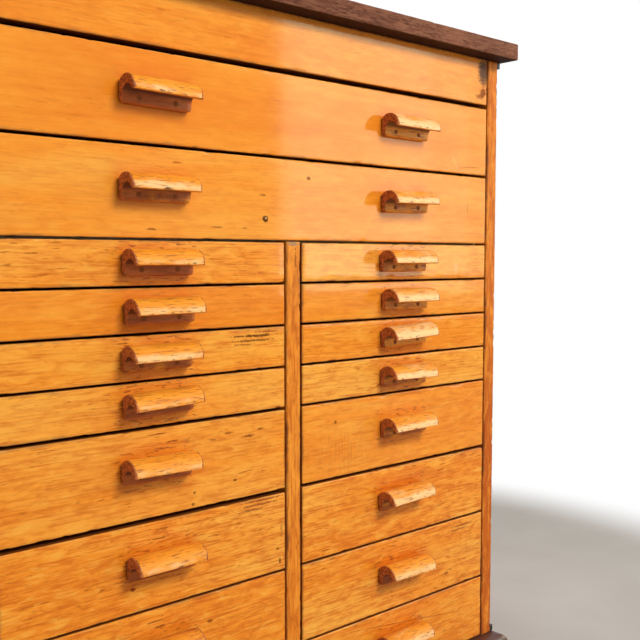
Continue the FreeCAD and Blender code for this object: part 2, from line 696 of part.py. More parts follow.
def back_boards(nails):
    """Upright back boards with bevelled joints, nailed to the stretcher and the shelf."""
    pitch = f"(Worked.back_width / {BACK_BOARDS})"
    size = (f"{pitch} - Sizes.back_joint", "Sizes.back_thick", "Sizes.carcass_height")
    body, pad = board_body("back_board_body", size)
    rear = value("Sizes.back_thick")

    def outer_side(edge):
        return upright(edge) and abs(edge.BoundBox.YMax - rear) < 1e-6

    names = [f"Edge{number}" for number, edge in enumerate(pad.Shape.Edges, 1) if outer_side(edge)]
    bevel = body.newObject("PartDesign::Chamfer", "back_board_bevel")
    bevel.Base = (pad, names)
    bevel.setExpression("Size", "Sizes.back_bevel")
    doc.recompute()
    boards = []
    for number in range(BACK_BOARDS):
        middle = f"(-Worked.back_width / 2 + {pitch} * ({number} + 0.5))"
        boards.append(copy_of(f"back_board_{number + 1}", body, Rotation(), middle,
                              "Worked.face + Worked.inner_depth", "Worked.base_top"))
    return cut("back_board_set", group("back_board_blanks", boards), nails)


def back_nails():
    """Two nails through each back board into the rear stretcher and into the shelf."""
    nail = headed_pin("nail", "Sizes.nail_head", "Sizes.nail_cap", "Sizes.nail_shank",
                      "Sizes.back_thick + Sizes.nail_bite")
    pitch = f"(Worked.back_width / {BACK_BOARDS})"
    spots = []
    for height in ("Worked.slab_low - Sizes.stretcher_thick / 2",
                   "Worked.shelf_top - Sizes.shelf_thick / 2"):
        for number in range(BACK_BOARDS):
            edge = f"(-Worked.back_width / 2 + {pitch} * {number})"
            for x in (f"{edge} + Sizes.nail_edge", f"{edge} + {pitch} - Sizes.nail_edge"):
                spots.append((x, "Worked.face + Sizes.carcass_depth", height))
    return screw_copies("back_nail_set", nail, Rotation(Vector(1, 0, 0), 90), spots)


def slab_screws():
    """Three screws up through each stretcher into the slab."""
    screw = headed_pin("slab_screw", "Sizes.slab_screw_head", "Sizes.slab_screw_cap",
                       "Sizes.slab_screw_shank", "Sizes.stretcher_thick + Sizes.slab_screw_bite")
    spots = []
    for y in ("Sizes.front_thick + Sizes.stretcher_width / 2",
              "Worked.inner_depth - Sizes.stretcher_width / 2"):
        for x in ("-(Worked.half_opening - Sizes.slab_screw_edge)", "0",
                  "Worked.half_opening - Sizes.slab_screw_edge"):
            spots.append((x, f"Worked.face + {y}", "Worked.stretcher_low"))
    return screw_copies("slab_screw_set", screw, Rotation(), spots)


def side_cleats():
    """Black battens along the panels, under the slab and over the moulding."""
    size = ("Sizes.cleat_wide", "Sizes.carcass_depth - Sizes.cleat_setback", "Sizes.cleat_high")
    front = "Worked.face + Sizes.cleat_setback"
    cleats = []
    for column, x in (("left", "-Worked.half_carcass - Sizes.cleat_wide"),
                      ("right", "Worked.half_carcass")):
        for level, z in (("top", "Worked.slab_low - Sizes.cleat_high"), ("base", "Worked.base_top")):
            cleats.append(block(f"cleat_{column}_{level}", (x, front, z), size))
    return group("cleat_set", cleats)


def carcass():
    """Everything that stays where it is."""
    wide_rows = [("wide", wide_bottom(1)), ("wide", wide_bottom(2))]
    column_rows = [(kind, column_bottom(row)) for row, kind in enumerate(COLUMN_KINDS, 1)]
    blank = screw_blank("runner_screw", "Sizes.screw_head", "Sizes.screw_cone", "Sizes.screw_shank",
                        "Worked.runner_wide + Sizes.runner_bite")
    outer_rows = wide_rows + column_rows
    half = "Sizes.board_thick / 2"
    left, left_screws = runner_line("left", "-Worked.half_opening", True, outer_rows, blank)
    right, right_screws = runner_line("right", "Worked.half_opening", False, outer_rows, blank)
    inner_left, inner_left_screws = runner_line("inner_left", f"-{half}", False, column_rows, blank)
    inner_right, inner_right_screws = runner_line("inner_right", half, True, column_rows, blank)
    nails = back_nails()
    fixings = slab_screws()

    front_stretcher = stretcher("front_stretcher_board", "Worked.face + Sizes.front_thick")
    rear_stretcher = stretcher("rear_stretcher_board",
                               "Worked.face + Worked.inner_depth - Sizes.stretcher_width")
    shelf = block("shelf_board",
                  ("-Worked.half_opening - Sizes.shelf_housing", "Worked.face + Worked.shelf_front",
                   "Worked.shelf_low"),
                  ("2 * (Worked.half_opening + Sizes.shelf_housing)",
                   "Worked.inner_depth - Worked.shelf_front", "Sizes.shelf_thick"))
    rebate = block("back_rebate",
                   ("-Worked.back_width / 2", "Worked.face + Worked.inner_depth", "Worked.base_top"),
                   ("Worked.back_width", "Sizes.back_thick", "Sizes.carcass_height"))
    middle = f"(Worked.half_opening + {half})"
    left_panel = standing_board("left_panel", f"-{middle}")
    right_panel = standing_board("right_panel", middle)

    node(cut("slab", top_slab(), fixings), "top_slab")
    node(cut("panel_left", left_panel, rebate, shelf, front_stretcher, rear_stretcher, left_screws),
         "side_panel_left")
    node(cut("panel_right", right_panel, rebate, shelf, front_stretcher, rear_stretcher, right_screws),
         "side_panel_right")
    node(cut("divider", centre_divider(), inner_left_screws, inner_right_screws), "centre_divider")
    rail, rail_pad = board_body("rail_body", ("Worked.wide_width", "Sizes.front_thick",
                                              "Sizes.rail_height"))
    soften(rail, rail_pad, "worn", "Sizes.front_round",
           lambda edge: at_front(edge) and edge.BoundBox.ZMax < 1e-6)
    node(place(rail, "0", "Worked.face", "Worked.slab_low - Sizes.rail_height"), "top_rail")
    node(cut("front_stretcher", front_stretcher, fixings), "front_stretcher")
    node(cut("rear_stretcher", rear_stretcher, fixings, nails), "rear_stretcher")
    node(cut("shelf", shelf, nails), "mid_shelf")
    node(block("base_board",
               ("-Worked.moulding_inner", "Worked.face + Worked.moulding_edge", "Sizes.plinth_height"),
               ("2 * Worked.moulding_inner", "Sizes.carcass_depth - Worked.moulding_edge",
                "Sizes.moulding_height")), "bottom_board")
    node(back_boards(nails), "back_boards")
    node(nails, "back_nails")
    base_mouldings()
    plinth()
    node(side_cleats(), "side_cleats")
    node(group("side_runner_set", [left, right]), "side_runners")
    node(group("divider_runner_set", [inner_left, inner_right]), "divider_runners")
    node(group("runner_screw_set", [left_screws, right_screws, inner_left_screws, inner_right_screws]),
         "runner_screws")
    node(fixings, "slab_screws")


def drawers():
    """The wide drawers and both columns, each with its own front and pulls."""
    blank = screw_blank("pull_screw", "Sizes.screw_head", "Sizes.screw_cone", "Sizes.screw_shank",
                        "Sizes.pull_leg + Sizes.screw_proud + Sizes.screw_bite")
    slot = block("screw_slot_tool", ("-Sizes.screw_head", "-Sizes.screw_slot / 2", "0"),
                 ("2 * Sizes.screw_head", "Sizes.screw_slot", "Sizes.screw_slot"))
    slotted = cut("slotted_screw", blank, slot)
    inward = Rotation(Vector(1, 0, 0), -90)
    blanks = []
    screws = []
    for mark, x in (("a", "-Sizes.screw_spread / 2"), ("b", "Sizes.screw_spread / 2")):
        spot = (x, "-Sizes.pull_leg - Sizes.screw_proud", "Sizes.pull_high / 2 - Sizes.screw_drop")
        blanks.append(copy_of(f"pull_hole_{mark}", blank, inward, *spot))
        screws.append(copy_of(f"pull_screw_{mark}", slotted, inward, *spot))
    pull = cut("pull_block", pull_body(), *blanks)
    parts = (pull, screws, blanks)

    boards = {kind: box_boards(kind) for kind in PIN_COUNT}
    for row, name in enumerate(("wide_upper", "wide_lower"), 1):
        pulls = {f"{name}_{side}": middle for side, middle in COLUMNS.items()}
        drawer(name, "wide", ("0", wide_bottom(row)), boards["wide"], parts, pulls)
    for side, middle in COLUMNS.items():
        for row, kind in enumerate(COLUMN_KINDS, 1):
            name = f"{side}_{row}"
            drawer(name, kind, (middle, column_bottom(row)), boards[kind], parts, {name: "0"})


carcass()
drawers()
doc.recompute()

for item in doc.Objects:
    if "Invalid" in item.State or "Error" in item.State:
        raise RuntimeError(f"{item.Name} failed: {item.State}")
for item in nodes:
    if item.Shape.isNull() or not item.Shape.isValid():
        raise RuntimeError(f"{item.Label} has no valid shape")

os.makedirs("parts", exist_ok=True)
for item in nodes:
    item.Shape.exportStep(f"parts/{item.Label}.step")
    print(item.Label, len(item.Shape.Solids), round(item.Shape.Volume / 1000, 1), "cm3")
print(len(nodes), "nodes")
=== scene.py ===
# %% [markdown]
# # A varnished chest of drawers
#
# This lesson dresses the measured model of an old workshop chest: amber-varnished fronts
# and uprights, small carved pulls, a red-brown slab on top and a dark moulding below.
# Every board of the real chest was sawn, planed and then worn by hands for decades, so each
# piece here gets three things: its true shape, rounded and chipped edges, and a wood grain
# that runs along it. The measured model stays where it is, and sets every size and place.

# %% Load the measured model
import math

import bmesh
import bpy
import numpy as np
from mathutils import Matrix, Vector, noise
from mathutils.geometry import delaunay_2d_cdt


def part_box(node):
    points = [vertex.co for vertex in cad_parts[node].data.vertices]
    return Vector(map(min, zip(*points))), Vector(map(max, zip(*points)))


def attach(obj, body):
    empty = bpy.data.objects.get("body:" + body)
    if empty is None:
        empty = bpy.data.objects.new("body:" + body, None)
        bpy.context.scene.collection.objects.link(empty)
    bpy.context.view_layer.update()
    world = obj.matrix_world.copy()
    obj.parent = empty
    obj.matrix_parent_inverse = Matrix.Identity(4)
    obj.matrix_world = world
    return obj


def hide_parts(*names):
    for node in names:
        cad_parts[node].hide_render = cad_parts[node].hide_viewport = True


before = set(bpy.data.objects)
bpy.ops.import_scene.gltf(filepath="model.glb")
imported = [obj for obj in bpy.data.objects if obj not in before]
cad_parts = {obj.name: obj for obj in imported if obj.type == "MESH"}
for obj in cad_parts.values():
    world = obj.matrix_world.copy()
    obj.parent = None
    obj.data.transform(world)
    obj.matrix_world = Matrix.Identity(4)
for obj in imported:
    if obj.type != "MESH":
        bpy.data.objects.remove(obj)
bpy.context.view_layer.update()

MM = 0.001
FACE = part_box("drawer_wide_upper")[0].y

# %% [markdown]
# The drawers are named once, with the row kind and the body they ride on. The fronts, boxes,
# pulls and screws are all made in loops over this list, so that no drawer is forgotten.

# %% Name the drawers
WIDE = ["wide_upper", "wide_lower"]
SMALL = [f"{side}_{row}" for side in ("left", "right") for row in range(1, 9)]
DRAWERS = WIDE + SMALL


def pull_node(drawer):
    """The measured model's node that holds a drawer's pulls and their screws."""
    return f"pulls_{drawer}" if drawer in WIDE else f"pull_{drawer}"


print("drawers", len(DRAWERS))

# %% [markdown]
# The camera stands low and to the left of the chest and looks along the fronts, so that the
# rows run towards the right edge. Its place was found by matching the corners of the fronts.
# A lens of about 50 mm on a 36 mm sensor gives the photograph's mild perspective.

# %% Set the camera
camera_data = bpy.data.cameras.new("camera")
camera_data.sensor_width = 36
camera_data.lens = 50.71
camera = bpy.data.objects.new("camera", camera_data)
camera.location = (-0.7012, -1.0366, 0.6565)
camera.rotation_euler = (math.radians(90 - 3.925), 0, math.radians(-41.90))
bpy.context.scene.collection.objects.link(camera)
bpy.context.scene.camera = camera
bpy.context.scene.view_settings.view_transform = "Standard"
print("camera", tuple(camera.location), "lens", camera_data.lens)

# %% [markdown]
# Node materials read better when a small helper wires them. Each helper adds one node, sets
# or links its inputs, and returns the output that the next step needs.

# %% Helpers that wire a material
def add_node(tree, kind, feeds=None, **settings):
    """Add a node, set its options, then link or set the inputs named in feeds."""
    node = tree.nodes.new(kind)
    for key, choice in settings.items():
        setattr(node, key, choice)
    for key, source in (feeds or {}).items():
        if isinstance(source, bpy.types.NodeSocket):
            tree.links.new(source, node.inputs[key])
        else:
            node.inputs[key].default_value = source
    return node


class Wiring:
    """Adds nodes to one material and links them."""

    def __init__(self, name):
        self.material = bpy.data.materials.new(name)
        self.material.use_nodes = True
        self.tree = self.material.node_tree
        self.tree.nodes.clear()
        self.shader = self.add("BsdfPrincipled")
        self.output = self.add("OutputMaterial", {"Surface": self.shader.outputs["BSDF"]})
        self.torn = None

    def add(self, kind, feeds=None, **settings):
        return add_node(self.tree, f"ShaderNode{kind}", feeds, **settings)

    def dress(self, values):
        """Link or set inputs of the shader, and return the material."""
        for key, source in values.items():
            if isinstance(source, bpy.types.NodeSocket):
                self.tree.links.new(source, self.shader.inputs[key])
            else:
                self.shader.inputs[key].default_value = source
        return self.material

    def attribute(self, name, output="Fac"):
        return self.add("Attribute", attribute_name=name).outputs[output]

    def place(self):
        return self.add("TexCoord").outputs["Object"]

    def axis(self, vector, name):
        return self.add("SeparateXYZ", {0: vector}).outputs[name]

    def math(self, kind, first, second, clamp=False):
        return self.add("Math", {0: first, 1: second}, operation=kind, use_clamp=clamp).outputs[0]

    def plus(self, first, second):
        return self.math("ADD", first, second)

    def times(self, first, second, clamp=False):
        return self.math("MULTIPLY", first, second, clamp)

    def noise(self, vector, stretch, detail=3.0, rough=0.55, twist=0.0, shift=(0, 0, 0)):
        """Cloudy noise; stretch says how quickly it changes along each axis."""
        moved = self.add("Mapping", {"Vector": vector, "Location": shift, "Scale": stretch})
        return self.add("TexNoise", {"Vector": moved.outputs[0], "Scale": 1.0, "Detail": detail,
                                     "Roughness": rough, "Distortion": twist}).outputs["Fac"]

    def span(self, value, low, high, out_low=0.0, out_high=1.0):
        """A smooth step from out_low at low to out_high at high."""
        return self.add("MapRange", {"Value": value, "From Min": low, "From Max": high, "To Min": out_low,
                                     "To Max": out_high}, interpolation_type="SMOOTHSTEP").outputs["Result"]

    def colours(self, value, stops):
        """A colour ramp from a list of place and colour."""
        node = self.add("ValToRGB", {"Fac": value})
        ramp = node.color_ramp
        while len(ramp.elements) < len(stops):
            ramp.elements.new(0.5)
        for element, (place, colour) in zip(ramp.elements, stops):
            element.position = place
            element.color = (*colour, 1)
        return node.outputs["Color"]

    def mix(self, share, first, second):
        """Blend two colours; share is how much of the second one shows."""
        feeds = {0: share}
        for number, colour in ((6, first), (7, second)):
            feeds[number] = colour if isinstance(colour, bpy.types.NodeSocket) else (*colour, 1)
        return self.add("Mix", feeds, data_type="RGBA").outputs[2]

    def bump(self, height, distance, strength=1.0, under=None):
        feeds = {"Height": height, "Distance": distance, "Strength": strength}
        if under is not None:
            feeds["Normal"] = under
        return self.add("Bump", feeds).outputs["Normal"]

    def frayed(self, edge, nicks, depth):
        """The distance to a worn edge, made uneven by noise."""
        return self.plus(edge, self.times(self.plus(nicks, -0.5), depth))

    def board(self, axes=None):
        """Grain place, tone and edge: a board's own values, or the object's place turned."""
        if axes is None:
            return self.attribute("grain", "Vector"), self.attribute("tone"), self.attribute("edge")
        apart = self.add("SeparateXYZ", {0: self.place()})
        again = self.add("CombineXYZ", {number: apart.outputs[axis] for number, axis in enumerate(axes)})
        return again.outputs[0], 0.5, 0.05

    def spot(self, x, z, half_wide, half_high, turn=0.0, ragged=0.6, soft=0.5):
        """A ragged patch on the front at x and z, in millimetres, 1 inside and 0 outside."""
        inside = self.add("Mapping", {
            "Vector": self.place(), "Location": (x * MM, 0, z * MM), "Rotation": (0, math.radians(turn), 0),
            "Scale": (half_wide * MM, 1000, half_high * MM)}, vector_type="TEXTURE")
        if self.torn is None:
            self.torn = self.noise(self.place(), (220, 220, 420), 3.0, 0.7)
        away = self.add("VectorMath", {0: inside.outputs[0]}, operation="LENGTH").outputs["Value"]
        reach = self.plus(away, self.times(self.torn, ragged * 2))
        return self.span(reach, 1 + ragged - soft, 1 + ragged, 1.0, 0.0)


def tinted(colour, *shares):
    """A colour with its parts scaled, each by a share of its own or all by one."""
    return tuple(part * share for part, share in zip(colour, shares * (3 // len(shares))))


print("wiring helpers ready")

# %% [markdown]
# Meshes and objects are made in the same two steps all through the lesson.

# %% Helpers that make a mesh and an object
def mesh_of(name, points, faces):
    """A mesh from points and faces."""
    mesh = bpy.data.meshes.new(name)
    mesh.from_pydata([tuple(point) for point in points], [], faces)
    return mesh


def new_object(name, data):
    """An object at the origin, in the scene."""
    item = bpy.data.objects.new(name, data)
    bpy.context.scene.collection.objects.link(item)
    return item


def put_value(mesh, name, data, kind="FLOAT"):
    """Store one value, a number or a vector, on each vertex of a mesh."""
    store = mesh.attributes.get(name) or mesh.attributes.new(name, kind, "POINT")
    key = "vector" if kind == "FLOAT_VECTOR" else "value"
    store.data.foreach_set(key, np.ascontiguousarray(data, np.float32).ravel())


print("mesh helpers ready")

# %% [markdown]
# Wood looks right when its grain follows each board. So every vertex carries three values
# of its own: "grain", its place counted along, across and through its board, with a shift
# that differs from board to board; "edge", its distance to the nearest worn edge; and
# "tone", one number for each board that makes it a little lighter or darker.

# %% Give a board its grain
def along_first(size):
    """The axes of a board, its longest first and its thinnest last."""
    return sorted(range(3), key=lambda axis: -size[axis])


def board_values(points, axes, seed):
    """Grain place and tone for the points of one board."""
    shift = np.array([noise.cell_vector(Vector((seed + 0.5, number, 7.3)))[0] for number in range(3)])
    grain = points[:, axes] + 3.0 * shift + seed * np.array((0.37, 0.11, 0.19))
    tone = np.full(len(points), noise.cell(Vector((seed + 0.5, 3.7, 1.9))))
    return grain, tone


def put_values(mesh, grain, edge, tone):
    """Store the three values on a mesh's vertices."""
    put_value(mesh, "grain", grain, "FLOAT_VECTOR")
    put_value(mesh, "edge", edge)
    put_value(mesh, "tone", tone)


print("longest axis first:", along_first((0.738, 0.02, 0.096)))

# %% [markdown]
# A worn board starts as a closed lattice of small squares, close together over its edges.
# The edges are rounded by pulling each point onto a ball of the edge's radius. Then smooth
# noise eats into the edges only: a light, even wear, and deeper chips here and there.

# %% Make a worn board
def side_lines(low, high, step, low_round, high_round):
    """Lattice lines between two sides, with close lines over each rounded side."""
    near = (0.0, 0.25, 0.6, 1.0)
    start, end = [low], [high]
    if low_round:
        start = [low + share * low_round for share in near] + [low + low_round + 0.4 * MM]
    if high_round:
        end = [high - share * high_round for share in near] + [high - high_round - 0.4 * MM]
    first, last = max(start), min(end)
    count = max(1, round((last - first) / step))
    middle = [first + (last - first) * number / count for number in range(1, count)]
    return np.array(sorted(set(start) | set(middle) | set(end)))


def lattice_shell(lines):
    """Points and quads of the closed skin of a lattice."""
    counts = [len(line) for line in lines]
    inside = np.zeros(counts, bool)
    if min(counts) > 2:
        inside[1:-1, 1:-1, 1:-1] = True
    number = np.full(counts, -1)
    shell = np.argwhere(~inside)
    number[tuple(shell.T)] = np.arange(len(shell))
    points = np.stack([lines[axis][shell[:, axis]] for axis in range(3)], 1)
    quads = []
    for axis in range(3):
        across, up = [other for other in range(3) if other != axis]
        for end in (0, counts[axis] - 1):
            sheet = np.take(number, end, axis=axis)
            four = np.stack([sheet[:-1, :-1], sheet[1:, :-1], sheet[1:, 1:], sheet[:-1, 1:]], -1)
            four = four.reshape(-1, 4)
            outward = (end > 0) == (axis != 1)
            quads.append(four if outward else four[:, ::-1])
    return points, np.concatenate(quads)


def worn_board(low, high, rounding=1.5 * MM, step=4 * MM, wear=0.3 * MM, chips=0.6 * MM, seed=0,
               plain=(), turned=None):
    """Points, quads and values of a board; plain lists sides such as "+y" that stay flat and sharp."""
    low, high = np.array(low, float), np.array(high, float)
    low_round = np.array([0.0 if f"-{name}" in plain else rounding for name in "xyz"])
    high_round = np.array([0.0 if f"+{name}" in plain else rounding for name in "xyz"])
    lines = [side_lines(low[a], high[a], step, low_round[a], high_round[a]) for a in range(3)]
    points, quads = lattice_shell(lines)
    core = np.clip(points, low + low_round, high - high_round)
    out = points - core
    length = np.linalg.norm(out, axis=1)
    unit = np.where(length[:, None] > 0, out / np.maximum(length, 1e-9)[:, None], 0)
    far = 1.0
    gaps = np.minimum(np.where(low_round > 0, points - low, far),
                      np.where(high_round > 0, high - points, far))
    edge = np.sort(gaps, axis=1)[:, 1]
    rough = np.array([noise.noise(Vector(p) * 90 + Vector((seed * 7.1, 0, 0))) for p in points])
    fine = np.array([noise.noise(Vector(p) * 260 + Vector((0, seed * 3.3, 0))) for p in points])
    bite = wear * (0.5 + 0.5 * fine) + chips * np.clip((rough - 0.32) * 4, 0, 1)
    depth = bite * np.exp(-np.maximum(edge - rounding * 0.5, 0) / (1.1 * MM))
    points = core + unit * (np.where(length > 0, rounding, 0) - depth)[:, None]
    axes = turned or along_first(high - low)
    grain, tone = board_values(points, list(axes), seed)
    return {"points": points, "faces": [tuple(q) for q in quads], "grain": grain, "edge": edge,
            "tone": tone}


trial = worn_board((0, 0, 0), (0.1, 0.02, 0.05))
print("trial board", len(trial["points"]), "points", len(trial["faces"]), "faces")

# %% [markdown]
# Some pieces are easier to copy than to build again, such as the dovetailed boards of a
# drawer box. The measured mesh comes as loose triangles, one solid after the other. Going
# through them in order, a solid is complete when none of its edges is left open, so the
# boards can be told apart even where they touch. Each board then gets its own grain.

# %% Copy boards from the measured model
def solids_of(node):
    """The closed solids of a measured node, each as merged points and triangles."""
    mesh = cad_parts[node].data
    raw = np.array([vert.co for vert in mesh.vertices], float)
    keys, index = np.unique(np.round(raw * 1e6).astype(int), axis=0, return_inverse=True)
    index = index.ravel()
    solids, open_edges, triangles = [], set(), []
    for polygon in mesh.polygons:
        corners = [int(index[vert]) for vert in polygon.vertices]
        triangles.append(corners)
        for first, second in zip(corners, corners[1:] + corners[:1]):
            if (second, first) in open_edges:
                open_edges.remove((second, first))
            else:
                open_edges.add((first, second))
        if not open_edges:
            used, renumbered = np.unique(np.array(triangles), return_inverse=True)
            solids.append({"points": keys[used] * 1e-6,
                           "faces": [tuple(map(int, row)) for row in renumbered.reshape(-1, 3)]})
            triangles = []
    assert not triangles, f"{node} has an open solid"
    return sorted(solids, key=lambda board: tuple(np.round(board["points"].min(0), 5)))


def behind(board, plane):
    """The part of a board that lies behind a Y, closed again at the cut."""
    mesh = mesh_of("cut", board["points"], board["faces"])
    work = bmesh.new()
    work.from_mesh(mesh)
    everything = work.verts[:] + work.edges[:] + work.faces[:]
    cut = bmesh.ops.bisect_plane(work, geom=everything, dist=1e-7, plane_co=(0, plane, 0),
                                 plane_no=(0, -1, 0), clear_outer=True)
    rim = [item for item in cut["geom_cut"] if isinstance(item, bmesh.types.BMEdge)]
    bmesh.ops.triangle_fill(work, edges=rim, use_beauty=True, normal=(0, -1, 0))
    work.verts.index_update()
    points = np.array([vert.co for vert in work.verts], float)
    faces = [tuple(vert.index for vert in face.verts) for face in work.faces]
    work.free()
    bpy.data.meshes.remove(mesh)
    return {"points": points, "faces": faces}


def finish_board(board, seed, turned=None):
    """Give a copied board its three values; its edges count as unworn."""
    points = board["points"]
    axes = turned or along_first(points.max(0) - points.min(0))
    board["grain"], board["tone"] = board_values(points, list(axes), seed)
    board["edge"] = np.full(len(points), 0.05)
    return board


print("boards in one drawer", len(solids_of("drawer_left_1")))

# %% [markdown]
# Boards are joined into one mesh for each piece. The mesh holds its place in its own
# points, its faces are smooth except where two of them meet sharply, and the piece then
# rides on a body of the measured model and stands for the node that it replaces.

# %% Join boards into a piece
def build_piece(name, boards, materials, body, nodes):
    """One mesh from several boards; a board's "finish" picks its material."""
    start, points, faces, finishes = 0, [], [], []
    for board in boards:
        points.append(board["points"])
        faces += [tuple(start + index for index in face) for face in board["faces"]]
        finishes += [board.get("finish", 0)] * len(board["faces"])
        start += len(board["points"])
    mesh = mesh_of(name, np.concatenate(points), faces)
    put_values(mesh, *(np.concatenate([board[key] for board in boards])
                       for key in ("grain", "edge", "tone")))
    for key in ("age", "hand"):
        values = [board.get(key, np.zeros(len(board["points"]))) for board in boards]
        put_value(mesh, key, np.concatenate(values))
    for material in materials:
        mesh.materials.append(material)
    mesh.polygons.foreach_set("material_index", finishes)
    return settle(mesh, name, body, nodes)


def settle(mesh, name, body, nodes):
    """Smooth a mesh, make it a piece, tie it to its body and hide the nodes it replaces."""
    mesh.polygons.foreach_set("use_smooth", [True] * len(mesh.polygons))
    mesh.set_sharp_from_angle(angle=math.radians(38))
    mesh.update()
    piece = new_object(name, mesh)
    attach(piece, body)
    if nodes:
        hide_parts(*nodes)
    return piece


print("piece builder ready")

# %% [markdown]
# ## The amber varnish
#
# The fronts are a pale, close-grained wood under an old amber varnish. Four layers make
# the colour: a soft figure that runs along the board, fine lines, short dark flecks that
# come in clusters, and blotches where the varnish lies thicker. Two more values steer them:
# "age", how strongly a board is marked, and "hand", how near the surface is to a pull, where
# fingers have left small specks and a deeper tone that is also painted shade round the pull.
# Along the edges the varnish is rubbed thin or has taken up dirt, and behind the face the
# sides are darkened, as dirt and as painted shade in the gaps. The larger marks are painted
# one by one, as patches at a place on the front; along the top of the rail they are a painted
# shadow of the slab, partly over a brown smear. One front has a patch of fine upright
# scratches. The gloss is a clear coat over a duller wood.

# %% Amber varnished wood
def amber_wood(name, stops, marks, dirt=0.5, coat=(0.85, 0.075), dirt_and_gap_shade=True, hatched=None):
    """Varnished wood; a mark is a colour, a strength and a place; coat is its amount and roughness."""
    w = Wiring(name)
    grain, tone, edge = w.board()
    age, hand = w.attribute("age"), w.attribute("hand")
    pale, base, deep = stops
    figure = w.noise(grain, (1.6, 24, 24), 3.0, 0.5, 1.2)
    blotch = w.noise(grain, (5, 11, 11), 2.0, 0.5)
    depth = w.plus(w.times(figure, 0.5), w.times(blotch, 0.5))
    depth = w.plus(depth, w.times(w.plus(tone, -0.5), 0.38))
    colour = w.colours(depth, ((0.32, pale), (0.5, base), (0.7, deep)))
    worked = w.plus(w.times(age, 1.1), 0.35)
    lines = w.noise(grain, (16, 420, 420), 4.0, 0.65)
    mottle = w.noise(grain, (36, 130, 130), 4.0, 0.65, 0.6, shift=(2, 7, 4))
    for source, low, high, amount, tint in ((lines, 0.44, 0.68, 0.56, tinted(deep, 0.74, 0.54, 0.5)),
                                            (mottle, 0.46, 0.7, 0.5, tinted(deep, 0.76, 0.56, 0.6)),
                                            (mottle, 0.5, 0.3, 0.46, tinted(pale, 1.02, 1.15, 1.2))):
        colour = w.mix(w.times(w.span(source, low, high), w.times(worked, amount), True), colour, tint)
    cluster = w.span(w.noise(grain, (7, 26, 26), 2.0), 0.42, 0.62)
    dash = w.span(w.noise(grain, (60, 430, 430), 1.6, 0.5), 0.62, 0.72)
    fleck = w.times(dash, w.times(cluster, worked), True)
    colour = w.mix(w.times(fleck, 0.68), colour, (0.38, 0.080, 0.006))
    speck = w.span(w.noise(grain, (85, 380, 380), 2.0, 0.5, shift=(5, 2, 8)), 0.58, 0.66, 0.0, 0.85)
    handled = w.times(w.span(hand, 0.1, 0.7), w.span(age, 0.1, 0.5))
    colour = w.mix(w.times(speck, handled), colour, (0.24, 0.050, 0.010))
    # A deeper tone near the pulls: hand grime, and painted shade round each pull.
    held_and_shaded = w.span(w.noise(grain, (30, 60, 60), 3.0, 0.6, shift=(6, 3, 1)), 0.25, 0.65, 0.12, 0.55)
    colour = w.mix(w.times(hand, held_and_shaded), colour, tinted(deep, 0.85, 0.72, 0.7))
    reach = w.frayed(edge, w.noise(grain, (60, 160, 160), 3.0, 0.6), 0.008)
    rubbed = w.times(w.span(reach, 0.0002, 0.0014, 1.0, 0.0), 0.45)
    colour = w.mix(rubbed, colour, (0.80, 0.37, 0.08))
    dirty = w.span(w.noise(grain, (14, 20, 20), 3.0, 0.6, shift=(3, 1, 2)), 0.42, 0.62)
    dirty = w.times(dirty, w.span(reach, 0.0, 0.0035, dirt, 0.0))
    colour = w.mix(dirty, colour, (0.20, 0.06, 0.02))
    bare = w.times(fleck, 0.6)
    for tint, strength, *place in marks:
        mark = w.times(w.spot(*place), strength)
        colour = w.mix(mark, colour, tint)
        bare = w.math("MAXIMUM", bare, mark)
    if hatched:
        hatch = w.span(w.noise(w.place(), (520, 1, 24), 3.0, 0.6), 0.45, 0.68, 0.0, 0.5)
        colour = w.mix(w.times(hatch, w.spot(*hatched)), colour, (0.46, 0.13, 0.018))
    # Behind the face the side faces are darkened: dirt on those edges, and painted shade in the gaps
    # between fronts.
    if dirt_and_gap_shade:
        back = w.span(w.axis(w.place(), "Y"), FACE + 0.7 * MM, FACE + 2.2 * MM, 0.0, 0.92)
        colour = w.mix(back, colour, (0.14, 0.034, 0.009))
    swell = w.bump(w.noise(grain, (7, 30, 30), 2.0), 0.0005, 0.3)
    relief = w.bump(fleck, -0.0001, 0.4, w.bump(lines, 0.00008, 0.6, swell))
    return w.dress({
        "Base Color": colour, "Roughness": w.span(figure, 0.3, 0.7, 0.45, 0.6), "Specular IOR Level": 0.02,
        "Coat Weight": w.times(w.math("SUBTRACT", 1.0, bare), coat[0]), "Coat IOR": 1.25,
        "Coat Roughness": coat[1], "Normal": relief, "Coat Normal": swell})


